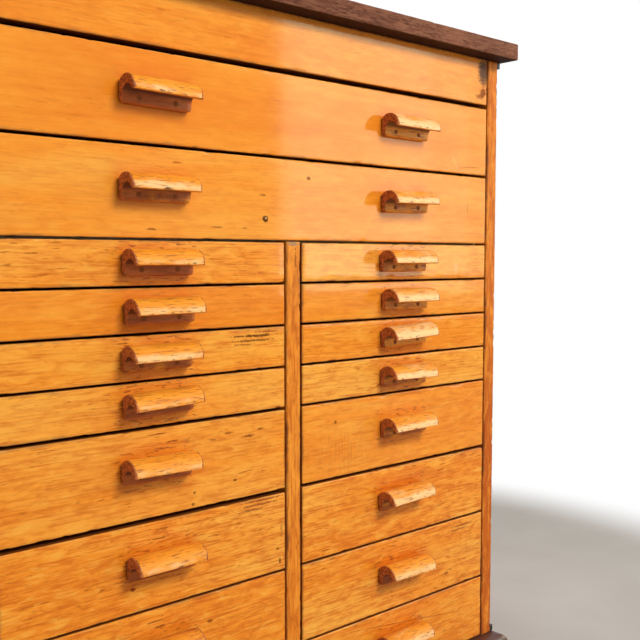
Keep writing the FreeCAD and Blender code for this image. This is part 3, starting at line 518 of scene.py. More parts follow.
# Each mark: colour, strength, x, z, half width, half height, then turn, raggedness, softness
BROWN, BLACK, BARE = (0.20, 0.034, 0.006), (0.055, 0.013, 0.004), (0.82, 0.48, 0.22)
SCUFF, STAIN, SHADE = (0.28, 0.070, 0.018), (0.085, 0.045, 0.032), (0.36, 0.12, 0.035)
SLAB_SHADOW, DUST = (0.06, 0.02, 0.009), (0.34, 0.20, 0.12)
WIDE_MARKS = [
    (BROWN, 0.8, 24, 753, 4, 2.6), (BLACK, 0.9, -43, 702, 4.6, 4.2, 0, 0.5, 0.3),
    (BARE, 0.8, -42, 703, 1.8, 1.4), (BROWN, 0.7, -46, 729.5, 6, 1.3, 0, 0.8),
    (BROWN, 0.6, -111, 691, 9, 1.5, 0, 0.9), (BROWN, 0.6, -74, 691, 6, 1.2, 0, 0.9),
    (BROWN, 0.7, -196, 687, 9, 1.6, 0, 0.9), (BROWN, 0.6, -164, 759, 8, 1.3, 0, 0.9),
    (BARE, 0.7, 298.5, 792, 15, 0.9, 58, 0.4), (BROWN, 0.6, 332.5, 786.5, 34, 0.5, -4.5, 0.3),
    (BLACK, 0.7, 327.5, 728, 11, 0.5, 90, 0.3), (STAIN, 0.95, 361, 925, 17, 26, 0, 0.6, 0.6),
    (BROWN, 0.85, 360, 896, 10, 12, 0, 0.9, 0.7), (BROWN, 0.7, 352, 889, 12, 5, 0, 0.7, 0.7),
    # Along the top of the rail: painted shadow of the slab's overhang, a dark line under it and a wider
    # shade that is partly a brown smear.
    (SHADE, 0.6, 60, 946, 700, 15, 0, 0.7, 1.2), (SLAB_SHADOW, 0.92, 0, 946, 1200, 5, 0, 0.5, 0.8),
]
LEFT_MARKS = [
    (BLACK, 0.85, -57, 566.5, 36, 1.9, 0, 1.3), (BLACK, 0.75, -60, 561, 34, 1.5, 0, 1.3),
    (BROWN, 0.7, -42, 570.5, 20, 1.2, 0, 1.2), (BROWN, 0.6, -75, 557, 18, 1.2, 0, 1.2),
    (BROWN, 0.9, -24, 478.5, 5, 2.2), (BROWN, 0.8, -69, 450, 9, 2.0, 0, 1.0),
    (BROWN, 0.7, -52, 456, 6, 1.4, 0, 1.0), (BROWN, 0.7, -98, 457, 8, 1.4, 0, 1.0),
    (BROWN, 0.6, -120, 452, 6, 1.3, 0, 1.0), (BLACK, 0.8, -89, 401, 2.6, 2.0),
    (BLACK, 0.7, -145, 396, 2.4, 1.8), (BLACK, 0.7, -147, 383, 2.6, 2.2),
    (SCUFF, 0.85, -56, 375, 30, 1.5, 0, 1.0), (SCUFF, 0.85, -50, 370.5, 34, 1.6, 0, 1.0),
    (SCUFF, 0.8, -54, 366, 34, 1.5, 0, 1.0), (SCUFF, 0.75, -66, 361, 24, 1.5, 0, 1.1),
    (SCUFF, 0.6, -20, 330, 3, 12, 0, 1.0, 1.0), (BLACK, 0.8, -22.5, 291, 2, 4.5),
    (BROWN, 0.8, -26, 306, 3, 2, 0, 1.1), (BROWN, 0.9, -224, 305, 4, 2.6),
    (BROWN, 0.85, -198, 263, 11, 1.3, 0, 1.0), (BROWN, 0.8, -192, 256, 8, 1.4, 0, 1.0),
    (BROWN, 0.8, -126, 244, 5, 2.2), (BROWN, 0.85, -191, 354, 14, 1.0, 0, 1.0),
    (BROWN, 0.8, -186, 364, 8, 0.9, 0, 1.0), (BROWN, 0.85, -192, 468, 13, 1.0, 0, 1.0),
    (BROWN, 0.8, -172, 458, 10, 1.0, 0, 1.0),
]
RIGHT_MARKS = [
    (BARE, 0.75, 303, 642, 3.4, 10, 0, 0.7), (BLACK, 0.7, 69, 449, 2.8, 2.2),
    (SCUFF, 0.75, 322, 266, 30, 1.6, 0, 1.0), (SCUFF, 0.7, 316, 261, 32, 1.6, 0, 1.0),
    (BROWN, 0.8, 52, 287, 8, 1.1, 0, 1.0), (BROWN, 0.7, 288, 201.5, 6, 2.4, 0, 1.0),
    (BROWN, 0.7, 84, 180, 8, 1.0, 0, 1.0), (BROWN, 0.55, 211, 152, 158, 0.8, 7.8, 0.5),
    (BROWN, 0.5, 250, 560, 12, 1.3, 0, 1.0),
]
UPRIGHT_MARKS = [
    (DUST, 0.8, 0, 674, 10, 5, 0, 0.6, 0.6), (BROWN, 0.7, 3, 655, 2.2, 14, 0, 0.9),
]
AMBER = ((0.87, 0.375, 0.050), (0.855, 0.288, 0.022), (0.785, 0.215, 0.012))
DARKER = ((0.86, 0.305, 0.034), (0.73, 0.212, 0.019), (0.53, 0.118, 0.015))
wide_wood = amber_wood("amber_wide_fronts", AMBER, WIDE_MARKS)
left_wood = amber_wood("amber_left_fronts", AMBER, LEFT_MARKS)
right_wood = amber_wood("amber_right_fronts", AMBER, RIGHT_MARKS, hatched=(85, 412, 75, 42, 0, 0.9, 0.9))
upright_wood = amber_wood("amber_uprights", DARKER, UPRIGHT_MARKS, 0.95, (0.15, 0.25), dirt_and_gap_shade=False)
print("amber finishes", wide_wood.name, left_wood.name, right_wood.name, upright_wood.name)

# %% [markdown]
# ## Raw, stained and painted woods
#
# Inside, the wood was never varnished: it is pale and dry with clear growth lines. The
# slab is stained red-brown and waxed dull, the base moulding is darker and rubbed, and the
# thin battens beside the panels are stained black. All of them share one recipe, with other
# colours and other amounts of line, wear and dirt.

# %% Raw and stained woods
def plain_wood(name, stops, axes=None, rough=(0.55, 0.75), line=0.5, rings=30.0, worn=(0.6, 0.4, 0.25),
               wear=0.0, dirt=0.0, gloss=0.25, pore=0.5, fibre=8, foot=None):
    """Unvarnished wood; worn shows where the edges are rubbed, and below foot the wood is darkened as
    painted shade.
    """
    w = Wiring(name)
    grain, tone, edge = w.board(axes)
    pale, base, deep = stops
    figure = w.noise(grain, (1.4, rings, rings), 3.0, 0.5, 1.6)
    lines = w.noise(grain, (fibre, 430, 430), 4.0, 0.65)
    blotch = w.noise(grain, (4, 9, 9), 2.0, shift=(5, 2, 8))
    depth = w.plus(w.times(figure, 0.6), w.times(blotch, 0.3))
    depth = w.plus(w.plus(depth, w.times(tone, 0.1)), w.times(w.plus(lines, -0.5), line))
    colour = w.colours(depth, ((0.3, pale), (0.5, base), (0.72, deep)))
    pores = w.span(w.noise(grain, (16 * fibre ** 0.5, 820, 820), 2.0), 0.54, 0.68, 0.0, pore)
    colour = w.mix(pores, colour, tinted(deep, 0.45))
    reach = w.frayed(edge, w.noise(grain, (50, 120, 120), 3.0, 0.6), 0.008)
    colour = w.mix(w.span(reach, 0.0, 0.002, wear, 0.0), colour, worn)
    soiled = w.span(w.noise(grain, (6, 14, 14), 4.0, 0.6, shift=(9, 4, 1)), 0.45, 0.7, 0.0, dirt)
    colour = w.mix(soiled, colour, tinted(base, 0.3))
    # Below foot the wood is darkened: painted shade on the slab's underside.
    if foot:
        low = w.span(w.axis(w.place(), "Z"), foot, foot + 1.5 * MM, 0.9, 0.0)
        colour = w.mix(low, colour, (0.028, 0.010, 0.006))
    relief = w.bump(lines, 0.00015, 0.6, w.bump(figure, 0.0008, 0.2))
    return w.dress({"Base Color": colour, "Roughness": w.span(lines, 0.3, 0.7, *rough),
                    "Specular IOR Level": gloss, "Normal": relief})


SLAB_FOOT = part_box("top_slab")[0].z
RED_BROWN = ((0.24, 0.085, 0.042), (0.165, 0.053, 0.026), (0.09, 0.026, 0.014))
DARK_BROWN = ((0.14, 0.045, 0.022), (0.085, 0.026, 0.014), (0.04, 0.012, 0.007))
BLACKENED = ((0.02, 0.015, 0.013), (0.011, 0.009, 0.008), (0.006, 0.005, 0.005))
PINE = ((0.80, 0.60, 0.38), (0.70, 0.47, 0.26), (0.52, 0.29, 0.13))
BEECH = ((0.66, 0.44, 0.27), (0.56, 0.34, 0.19), (0.42, 0.23, 0.12))
AXES = {"x": (0, 1, 2), "y": (1, 0, 2), "z": (2, 0, 1)}
slab_wood = plain_wood("slab_wood", RED_BROWN, rough=(0.5, 0.7), line=1.5, rings=60,
                       worn=(0.32, 0.14, 0.07), wear=0.6, dirt=0.3, gloss=0.06, pore=0.6, fibre=60,
                       foot=SLAB_FOOT)
base_wood = plain_wood("base_wood", DARK_BROWN, rough=(0.3, 0.55), line=0.7, worn=(0.34, 0.17, 0.09),
                       wear=0.7, dirt=0.4, gloss=0.4)
black_wood = plain_wood("black_stained_wood", BLACKENED, rough=(0.4, 0.6),
                        worn=(0.09, 0.05, 0.035), wear=0.5)
raw_pine = plain_wood("raw_pine", PINE, worn=(0.5, 0.33, 0.19), wear=0.4, dirt=0.2)
pine_along = {way: plain_wood(f"raw_pine_{way}", PINE, AXES[way], dirt=0.25) for way in "xz"}
beech_along = {way: plain_wood(f"raw_beech_{way}", BEECH, AXES[way], dirt=0.2) for way in "y"}
print("woods", slab_wood.name, base_wood.name, black_wood.name, raw_pine.name)

# %% [markdown]
# ## The carcass
#
# The slab, the rail and the plinth are plain boards, so each one is made new in the box
# that the measured node fills. The uprights have housings cut into them. They get a new
# worn front strip, and behind it the measured board as it is.

# %% Slab, rail, plinth and battens
def board_of(node, seed, **how):
    """A worn board that fills a node's box."""
    low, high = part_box(node)
    return worn_board(low, high, seed=seed, **how)


def aged(board, tone, age):
    """Set how deep a board's colour is and how strongly it is marked, both from 0 to 1."""
    board["tone"] = np.full(len(board["points"]), tone)
    board["age"] = np.full(len(board["points"]), age)
    return board


slab_board = board_of("top_slab", 3, rounding=2.2 * MM, step=9 * MM, wear=0.5 * MM, chips=1.4 * MM)
slab = build_piece("worn_top_slab", [slab_board], [slab_wood], "carcass", ["top_slab"])
rail_board = aged(board_of("top_rail", 5, step=4.5 * MM), 0.72, 0.2)
rail = build_piece("worn_top_rail", [rail_board], [wide_wood], "carcass", ["top_rail"])
for number, side in enumerate(("front", "back", "left", "right")):
    board = board_of(f"plinth_{side}", 11 + number, rounding=1.2 * MM, step=14 * MM)
    build_piece(f"worn_plinth_{side}", [board], [base_wood], "carcass", [f"plinth_{side}"])
battens = []
for number, batten in enumerate(solids_of("side_cleats")):
    battens.append(worn_board(batten["points"].min(0), batten["points"].max(0), rounding=1.0 * MM,
                              step=10 * MM, wear=0.3 * MM, chips=0.7 * MM, seed=21 + number))
build_piece("worn_side_battens", battens, [black_wood], "carcass", ["side_cleats"])
print("slab", len(slab.data.vertices), "rail", len(rail.data.vertices), "battens", len(battens))

# %% Uprights with worn front strips
STRIP, CARCASS_TOP = 5 * MM, 944 * MM


def upright_piece(node, seed):
    """A worn strip on the front edge of an upright and the measured board behind it."""
    low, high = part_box(node)
    strip = worn_board(low, (high.x, FACE + STRIP, high.z), rounding=1.8 * MM, step=3 * MM, wear=0.35 * MM,
                       chips=1.3 * MM, seed=seed, plain=("+y",), turned=(2, 0, 1))
    rest = [finish_board(behind(board, FACE + STRIP), seed, (2, 0, 1)) for board in solids_of(node)]
    boards = [aged(strip, 0.5, 0.8)] + [aged(board, 0.5, 0.35) for board in rest]
    for board in boards:
        # The uprights are darker towards the base, and the divider starts paler.
        fall = 1 - board["points"][:, 2] / CARCASS_TOP
        divider = node == "centre_divider"
        board["tone"] = -0.2 + 0.95 * fall if divider else np.minimum(0.3 + 1.2 * fall, 1.05)
    return build_piece(f"worn_{node}", boards, [upright_wood], "carcass", [node])


for number, node in enumerate(("side_panel_left", "side_panel_right", "centre_divider")):
    upright = upright_piece(node, 31 + number)
    print(node, len(upright.data.polygons), "faces")

# %% [markdown]
# The base moulding has one rounded section all round and meets in mitres at the corners.
# Each length is drawn as that section at many stations, and at a mitre every point of the
# section stops where the cut crosses it.

# %% Base moulding
SIDE_LOW, SIDE_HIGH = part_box("base_moulding_front")
REAR_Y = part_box("base_moulding_left")[1].y
LENGTH_WIDE = SIDE_HIGH.y - SIDE_LOW.y
MOULDING_ROUND, STATION_STEP, RUBBED_ABOVE = 11 * MM, 12 * MM, 12 * MM


def moulding_section():
    """Distances in from the outer face and heights of the section, from the foot round."""
    high, deep, bend = SIDE_HIGH.z - SIDE_LOW.z, LENGTH_WIDE, MOULDING_ROUND
    section = [(0.0, 0.0), (0.0, 0.5 * (high - bend))]
    for number in range(9):
        angle = math.pi / 2 * number / 8
        section.append((bend * (1 - math.cos(angle)), high - bend + bend * math.sin(angle)))
    section += [(bend + 0.5 * (deep - bend), high), (deep, high), (deep, 0.0), (0.5 * deep, 0.0)]
    return section


def moulding_run(start, end, inward, mitres, seed):
    """One length between two outer corner points; mitres says which ends are cut slanted."""
    start, end, inward = Vector(start), Vector(end), Vector(inward)
    along = (end - start).normalized()
    span = (end - start).length
    section = moulding_section()
    stations = max(2, round(span / STATION_STEP))
    points, edge = [], []
    for number in range(stations + 1):
        for deep, high in section:
            low_end = deep if mitres[0] else 0.0
            high_end = span - (deep if mitres[1] else 0.0)
            place = start + along * (low_end + (high_end - low_end) * number / stations) + inward * deep
            place.z += high
            rubbed = max(0.0, noise.noise(place * 45 + Vector((seed, 0, 0)))) * 1.6 * MM
            rounded = 0.0 if high == 0.0 or deep >= LENGTH_WIDE * 0.5 else 1.0
            sunk = Vector((0, 0, rubbed * 0.7 * rounded * (high > RUBBED_ABOVE)))
            points.append(place + inward * rubbed * rounded - sunk)
            edge.append(abs(deep - 3 * MM) + 0.001)
    count = len(section)
    faces = []
    for number in range(stations):
        for index in range(count):
            other = (index + 1) % count
            a, b = number * count, (number + 1) * count
            faces.append((a + index, a + other, b + other, b + index))
    faces.append(tuple(range(count - 1, -1, -1)))
    faces.append(tuple(stations * count + index for index in range(count)))
    points = np.array([tuple(point) for point in points])
    work = bmesh.new()
    mesh = mesh_of("run", points, faces)
    work.from_mesh(mesh)
    bmesh.ops.recalc_face_normals(work, faces=work.faces[:])
    faces = [tuple(vert.index for vert in face.verts) for face in work.faces]
    work.free()
    bpy.data.meshes.remove(mesh)
    axes = AXES["x" if abs(along.x) > 0.5 else "y"]
    grain, tone = board_values(points, list(axes), seed)
    return {"points": points, "faces": faces, "grain": grain, "edge": np.array(edge), "tone": tone}


LEFT_FRONT, RIGHT_FRONT = tuple(SIDE_LOW), (SIDE_HIGH.x, SIDE_LOW.y, SIDE_LOW.z)
runs = {
    "front": (LEFT_FRONT, RIGHT_FRONT, (0, 1, 0), (True, True)),
    "left": (LEFT_FRONT, (SIDE_LOW.x, REAR_Y, SIDE_LOW.z), (1, 0, 0), (True, False)),
    "right": (RIGHT_FRONT, (SIDE_HIGH.x, REAR_Y, SIDE_LOW.z), (-1, 0, 0), (True, False)),
}
for number, (side, run) in enumerate(runs.items()):
    build_piece(f"worn_moulding_{side}", [moulding_run(*run, 41 + number)], [base_wood], "carcass",
                [f"base_moulding_{side}"])
print("moulding section", len(moulding_section()), "points,", len(runs), "lengths")

# %% [markdown]
# ## Fronts and drawer boxes
#
# A front is a worn board as deep as the wood left before its dovetails. Behind it stands
# the rest of the measured front, with its sockets. The sides, back and bottom of each box
# are copied too, and are raw wood.

# %% Fronts and boxes
LAP, LEAST_PULL = 5.5 * MM, 50 * MM
FRONT_LOOKS = {
    "wide_upper": (0.60, 0.0), "wide_lower": (0.40, 0.15),
    "left_1": (0.48, 0.70), "left_2": (0.70, 0.25), "left_3": (0.38, 0.60), "left_4": (0.15, 0.50),
    "left_5": (0.40, 0.60), "left_6": (0.50, 0.95), "left_7": (0.60, 0.90), "left_8": (0.60, 0.90),
    "right_1": (0.20, 0.45), "right_2": (0.45, 0.30), "right_3": (0.60, 0.50), "right_4": (-0.10, 0.60),
    "right_5": (0.55, 0.40), "right_6": (0.48, 1.00), "right_7": (0.40, 0.90), "right_8": (0.55, 0.70),
}


def near_pulls(drawer, points):
    """How near points are to the drawer's pulls: 1 at a pull, fading over about 20 mm."""
    share = np.zeros(len(points))
    for solid in solids_of(pull_node(drawer)):
        low, high = solid["points"].min(0), solid["points"].max(0)
        if high[0] - low[0] > LEAST_PULL:
            gap = np.maximum(np.maximum(low - points, points - high), 0)[:, [0, 2]]
            share = np.maximum(share, np.exp(-np.hypot(gap[:, 0], gap[:, 1]) / (9 * MM)))
    return share


def arch_grain(board, x, z):
    """Bend a board's grain into square-shouldered arches around a place, right of x."""
    across, up = np.maximum(board["points"][:, 0] - x, 0), board["points"][:, 2] - z
    bend = (across ** 4 + up ** 4) ** 0.25 - up
    board["grain"] = board["grain"] + np.stack([0.06 * np.arctan2(across, up) - across, bend, 0 * bend], 1)


def drawer_pieces(drawer, seed):
    """The worn front and the raw box of one drawer."""
    node = f"drawer_{drawer}"
    boards = solids_of(node)
    front = min(boards, key=lambda board: board["points"][:, 1].min())
    low, high = front["points"].min(0), front["points"].max(0)
    face = worn_board(low, (high[0], FACE + LAP, high[2]), rounding=1.6 * MM, step=4 * MM, wear=0.35 * MM,
                      chips=1.0 * MM, seed=seed, plain=("+y",), turned=(0, 2, 1))
    sockets = finish_board(behind(front, FACE + LAP), seed, (0, 2, 1))
    face["hand"] = near_pulls(drawer, face["points"])
    if drawer == "left_8":
        arch_grain(face, -112 * MM, low[2] - 12 * MM)
    wood = wide_wood if drawer in WIDE else left_wood if drawer.startswith("left") else right_wood
    front_boards = [aged(board, *FRONT_LOOKS[drawer]) for board in (face, sockets)]
    build_piece(f"front_{drawer}", front_boards, [wood], drawer, [node])
    rest = [board for board in boards if board is not front]
    box = [finish_board(board, seed * 7 + number) for number, board in enumerate(rest, 1)]
    build_piece(f"box_{drawer}", box, [raw_pine], drawer, [])
    return len(face["faces"]), len(box)


for number, drawer in enumerate(DRAWERS):
    counts = drawer_pieces(drawer, 51 + number)
print("last front", counts[0], "faces,", counts[1], "box boards")

# %% [markdown]
# ## Pulls, screws and back boards
#
# What repeats is made with Geometry Nodes. A tree is built here with named inputs for its
# sizes and a seed for its wear. It runs on a few points, one for each copy, and its result
# is kept as a plain mesh, so that each drawer's own pulls can ride with it.

# %% Helper that builds a geometry tree
class Growth:
    """One geometry tree with named inputs; adds nodes and links them."""

    def __init__(self, name, inputs):
        self.tree = bpy.data.node_groups.new(name, "GeometryNodeTree")
        face = self.tree.interface
        face.new_socket("Geometry", in_out="INPUT", socket_type="NodeSocketGeometry")
        self.keys = {}
        for title, kind, default in inputs:
            socket = face.new_socket(title, in_out="INPUT", socket_type=f"NodeSocket{kind}")
            if default is not None:
                socket.default_value = default
            self.keys[title] = socket.identifier
        face.new_socket("Geometry", in_out="OUTPUT", socket_type="NodeSocketGeometry")
        self.given = self.tree.nodes.new("NodeGroupInput").outputs
        self.result = self.tree.nodes.new("NodeGroupOutput").inputs["Geometry"]

    def add(self, kind, feeds=None, **settings):
        return add_node(self.tree, kind, feeds, **settings)

    def sum(self, kind, first, second=0.0):
        return self.add("ShaderNodeMath", {0: first, 1: second}, operation=kind).outputs[0]

    def times(self, first, second):
        return self.sum("MULTIPLY", first, second)

    def vector(self, x=0.0, y=0.0, z=0.0):
        return self.add("ShaderNodeCombineXYZ", {0: x, 1: y, 2: z}).outputs[0]

    def named(self, name, kind="FLOAT"):
        found = self.add("GeometryNodeInputNamedAttribute", {"Name": name}, data_type=kind)
        return found.outputs["Attribute"]

    def store(self, geometry, name, value, kind, domain):
        feeds = {"Geometry": geometry, "Name": name, "Value": value}
        return self.add("GeometryNodeStoreNamedAttribute", feeds, data_type=kind, domain=domain).outputs[0]

    def chance(self):
        """A number between 0 and 1 for each copy, fixed by the tree's seed."""
        count = self.sum("ADD", self.add("GeometryNodeInputIndex").outputs[0], self.given["Seed"])
        return self.add("ShaderNodeTexWhiteNoise", {"W": count}, noise_dimensions="1D").outputs["Value"]

    def model(self, title):
        """The geometry of an object that is one of the tree's inputs."""
        return self.add("GeometryNodeObjectInfo", {"Object": self.given[title]}).outputs["Geometry"]

    def rotation(self, angles):
        return self.add("FunctionNodeEulerToRotation", {0: angles}).outputs[0]

    def moved(self, geometry, place):
        return self.add("GeometryNodeTransform", {"Geometry": geometry, "Translation": place}).outputs[0]

    def copied(self, points, instance, **turned):
        """One copy on each point."""
        feeds = {"Points": points, "Instance": instance, **turned}
        return self.add("GeometryNodeInstanceOnPoints", feeds).outputs[0]

    def toned(self, copies, spread, start=None):
        """Make copies real, each with its own tone and a shift of its grain; also gives that grain."""
        marked = self.store(copies, "tone", self.chance(), "FLOAT", "INSTANCE")
        real = self.add("GeometryNodeRealizeInstances", {"Geometry": marked}).outputs[0]
        shift = self.times(self.named("tone"), spread)
        if start is not None:
            shift = self.sum("ADD", shift, start)
        grain = self.add("ShaderNodeVectorMath", {0: self.named("grain", "FLOAT_VECTOR"), 1: shift},
                         operation="ADD").outputs[0]
        return self.store(real, "grain", grain, "FLOAT_VECTOR", "POINT"), grain

    def end(self, geometry, material):
        """Make the copies real, give them their material and send them out."""
        real = self.add("GeometryNodeRealizeInstances", {"Geometry": geometry})
        painted = self.add("GeometryNodeSetMaterial", {"Geometry": real.outputs[0], "Material": material})
        self.tree.links.new(painted.outputs[0], self.result)
        print(self.tree.name, len(self.tree.nodes), "nodes, inputs", list(self.keys))
        return self


def grow(growth, places, values, turns=None):
    """Run a tree on points, turned where turns are given, and return its result as a plain mesh."""
    carrier_mesh = mesh_of("places", places, [])
    if turns:
        put_value(carrier_mesh, "turn", turns, "FLOAT_VECTOR")
    carrier = new_object("places", carrier_mesh)
    modifier = carrier.modifiers.new("growth", "NODES")
    modifier.node_group = growth.tree
    for title, given in values.items():
        modifier[growth.keys[title]] = given
    graph = bpy.context.evaluated_depsgraph_get()
    made = bpy.data.meshes.new_from_object(carrier.evaluated_get(graph), depsgraph=graph)
    carrier.modifiers.remove(modifier)
    bpy.data.objects.remove(carrier)
    return made


print("growth helper ready")

# %% [markdown]
# The pull's section is an arch over a finger cove, on a short leg. The section is repeated at
# many stations along the pull. Where a corner is rounded, the pull is a little shorter, so
# every point of the section has a length of its own. The end faces are filled with small
# triangles that follow the same rounding.

# %% The section of a pull
PULL_WIDE, PULL_HIGH, REACH, ARCH = 84.5, 28.8, 31.0, 17.0
LEG, COVE, COVE_DROP, LIP_DROP, FOOT = 7.7, 9.9, 21.0, 17.8, 1.5
TOP = PULL_HIGH / 2
ARCH_AT = (-(REACH - ARCH), TOP - ARCH)
COVE_AT = (-(LEG + COVE), TOP - COVE_DROP)


def arc_points(centre, radius, start, end, count):
    """Points of an arc in the plane of the section, angles in degrees."""
    turns = np.radians(np.linspace(start, end, count))
    return [(centre[0] + radius * math.cos(a), centre[1] + radius * math.sin(a)) for a in turns]


def pull_section():
    """Section points as (y, z) in millimetres, and how pale fingers have rubbed each one."""
    seat = math.degrees(math.acos(-ARCH_AT[0] / ARCH))
    lip_z = TOP - LIP_DROP
    lip = math.degrees(math.acos((lip_z - COVE_AT[1]) / COVE)) + 90
    outer = arc_points(ARCH_AT, ARCH, seat, 166, 30)
    outer_rub = np.interp(np.linspace(seat, 166, 30), (seat, 60, 95, 145, 158, 166),
                          (0.3, 0.45, 0.55, 0.55, 0.85, 1.0))
    tip = arc_points((-REACH + 1.4, ARCH_AT[1] + 0.9), 1.35, 165, 262, 6)
    inner_y = COVE_AT[0] + COVE * math.cos(math.radians(lip))
    lip_end = arc_points((inner_y - 0.9, lip_z + 0.8), 0.9, 275, 345, 4)
    inside = arc_points(COVE_AT, COVE, lip - 7, 0, 18)
    leg = [(-LEG, -TOP + FOOT + 5), (-LEG, -TOP + FOOT + 2.5), (-LEG, -TOP + FOOT + 0.4),
           (-LEG + 0.15, -TOP + FOOT)]
    foot = [(-LEG + FOOT, -TOP + 0.15), (-LEG + FOOT + 0.5, -TOP), (-LEG / 2, -TOP), (0.0, -TOP)]
    seat_z = ARCH_AT[1] + math.sqrt(ARCH ** 2 - ARCH_AT[0] ** 2)
    back = [(0.0, z) for z in (-TOP + 3, -TOP + 7, 0.0, seat_z - 2, seat_z - 0.4)]
    points = outer + tip + lip_end + inside + leg + foot + back
    rub = list(outer_rub) + [0.9] * 3 + [0.5] * 3 + [0.1] * len(lip_end)
    rub += [0.0] * (len(points) - len(rub))
    return np.array(points), np.array(rub)


section, rubbed = pull_section()
print("section", len(section), "points, lowest", section.min(0), "highest", section.max(0))

# %% The master pull
RIM, CELL, END_SCALE = 0.35, 1.4, 44


def half_length(y, z):
    """Half of the pull's length at a place of its section."""
    def short(gap, radius):
        lack = min(max(0.0, radius - gap), radius)
        return radius - math.sqrt(radius ** 2 - lack ** 2)
    over = ARCH - math.hypot(y - ARCH_AT[0], z - ARCH_AT[1]) if z > ARCH_AT[1] else 9.0
    return PULL_WIDE / 2 - short(over, 1.0) - short(y + REACH, 2.4) - short(z + TOP, 4.5)


def master_pull():
    """A pull around the origin, its back at Y = 0, with its values for wear and grain."""
    count = len(section)
    along = np.roll(section, -1, 0) - np.roll(section, 1, 0)
    inward = np.stack([-along[:, 1], along[:, 0]], 1) / np.linalg.norm(along, axis=1)[:, None]
    reach = np.array([half_length(*place) - RIM for place in section])
    steps = [0.0, 0.6, 1.5, 3.0, 5.0]
    shares = [-1 + step / END_SCALE for step in steps] + list(np.linspace(-0.84, 0.84, 27))
    shares += [1 - step / END_SCALE for step in reversed(steps)]
    points, edge, rub = [], [], []
    for share in shares:
        points += [(share * far, *place) for far, place in zip(reach, section)]
        gap = PULL_WIDE / 2 * (1 - abs(share))
        edge += list(np.minimum(np.hypot(section[:, 0] + REACH, section[:, 1] + 1.5), gap + 0.3))
        rub += list(rubbed)
    faces = []
    for row in range(len(shares) - 1):
        for index in range(count):
            other = (index + 1) % count
            faces.append((row * count + index, row * count + other, (row + 1) * count + other,
                          (row + 1) * count + index))
    ring = section + inward * 0.6
    grid = [(y, z) for y in np.arange(-29.6, -0.5, CELL) for z in np.arange(-13.6, 14, CELL)
            if np.hypot(*(section - (y, z)).T).min() > 1.3 and inside_section(y, z)]
    flat = [Vector(place) for place in list(section) + list(ring) + grid]
    rims = [(count + index, count + (index + 1) % count) for index in range(count)]
    flat, _, cells, *_ = delaunay_2d_cdt(flat, rims, [tuple(range(count))], 1, 1e-5)
    on_rim = [np.hypot(*(section - (place.x, place.y)).T).min() < 1e-4 for place in flat]
    for side in (-1, 1):
        start = len(points)
        points += [(side * (half_length(place.x, place.y) - RIM * rim), place.x, place.y)
                   for place, rim in zip(flat, on_rim)]
        edge += [2.0] * len(flat)
        rub += [-1.0] * len(flat)
        faces += [tuple(start + index for index in cell) for cell in cells]
    points = np.array(points) * MM
    mesh = mesh_of("master_pull", points, faces)
    put_value(mesh, "grain", points, "FLOAT_VECTOR")
    put_value(mesh, "edge", np.array(edge) * MM)
    seat = -points[:, 1]
    put_value(mesh, "seat", np.stack([seat, 0 * seat, 0 * seat], 1), "FLOAT_VECTOR")
    put_value(mesh, "rub", rub)
    work = bmesh.new()
    work.from_mesh(mesh)
    bmesh.ops.remove_doubles(work, verts=work.verts[:], dist=2e-6)
    bmesh.ops.recalc_face_normals(work, faces=work.faces[:])
    print("open edges", sum(not edge.is_manifold for edge in work.edges))
    work.to_mesh(mesh)
    work.free()
    return new_object("master_pull", mesh)


def inside_section(y, z):
    """Whether a place lies inside the section."""
    ys, zs = section.T
    later_y, later_z = np.roll(ys, -1), np.roll(zs, -1)
    crossed = (zs > z) != (later_z > z)
    with np.errstate(divide="ignore", invalid="ignore"):
        at = ys + (z - zs) / (later_z - zs) * (later_y - ys)
    return int(np.sum(crossed & (at > y))) % 2 == 1


pull_master = master_pull()
print("master pull", len(pull_master.data.polygons), "faces")

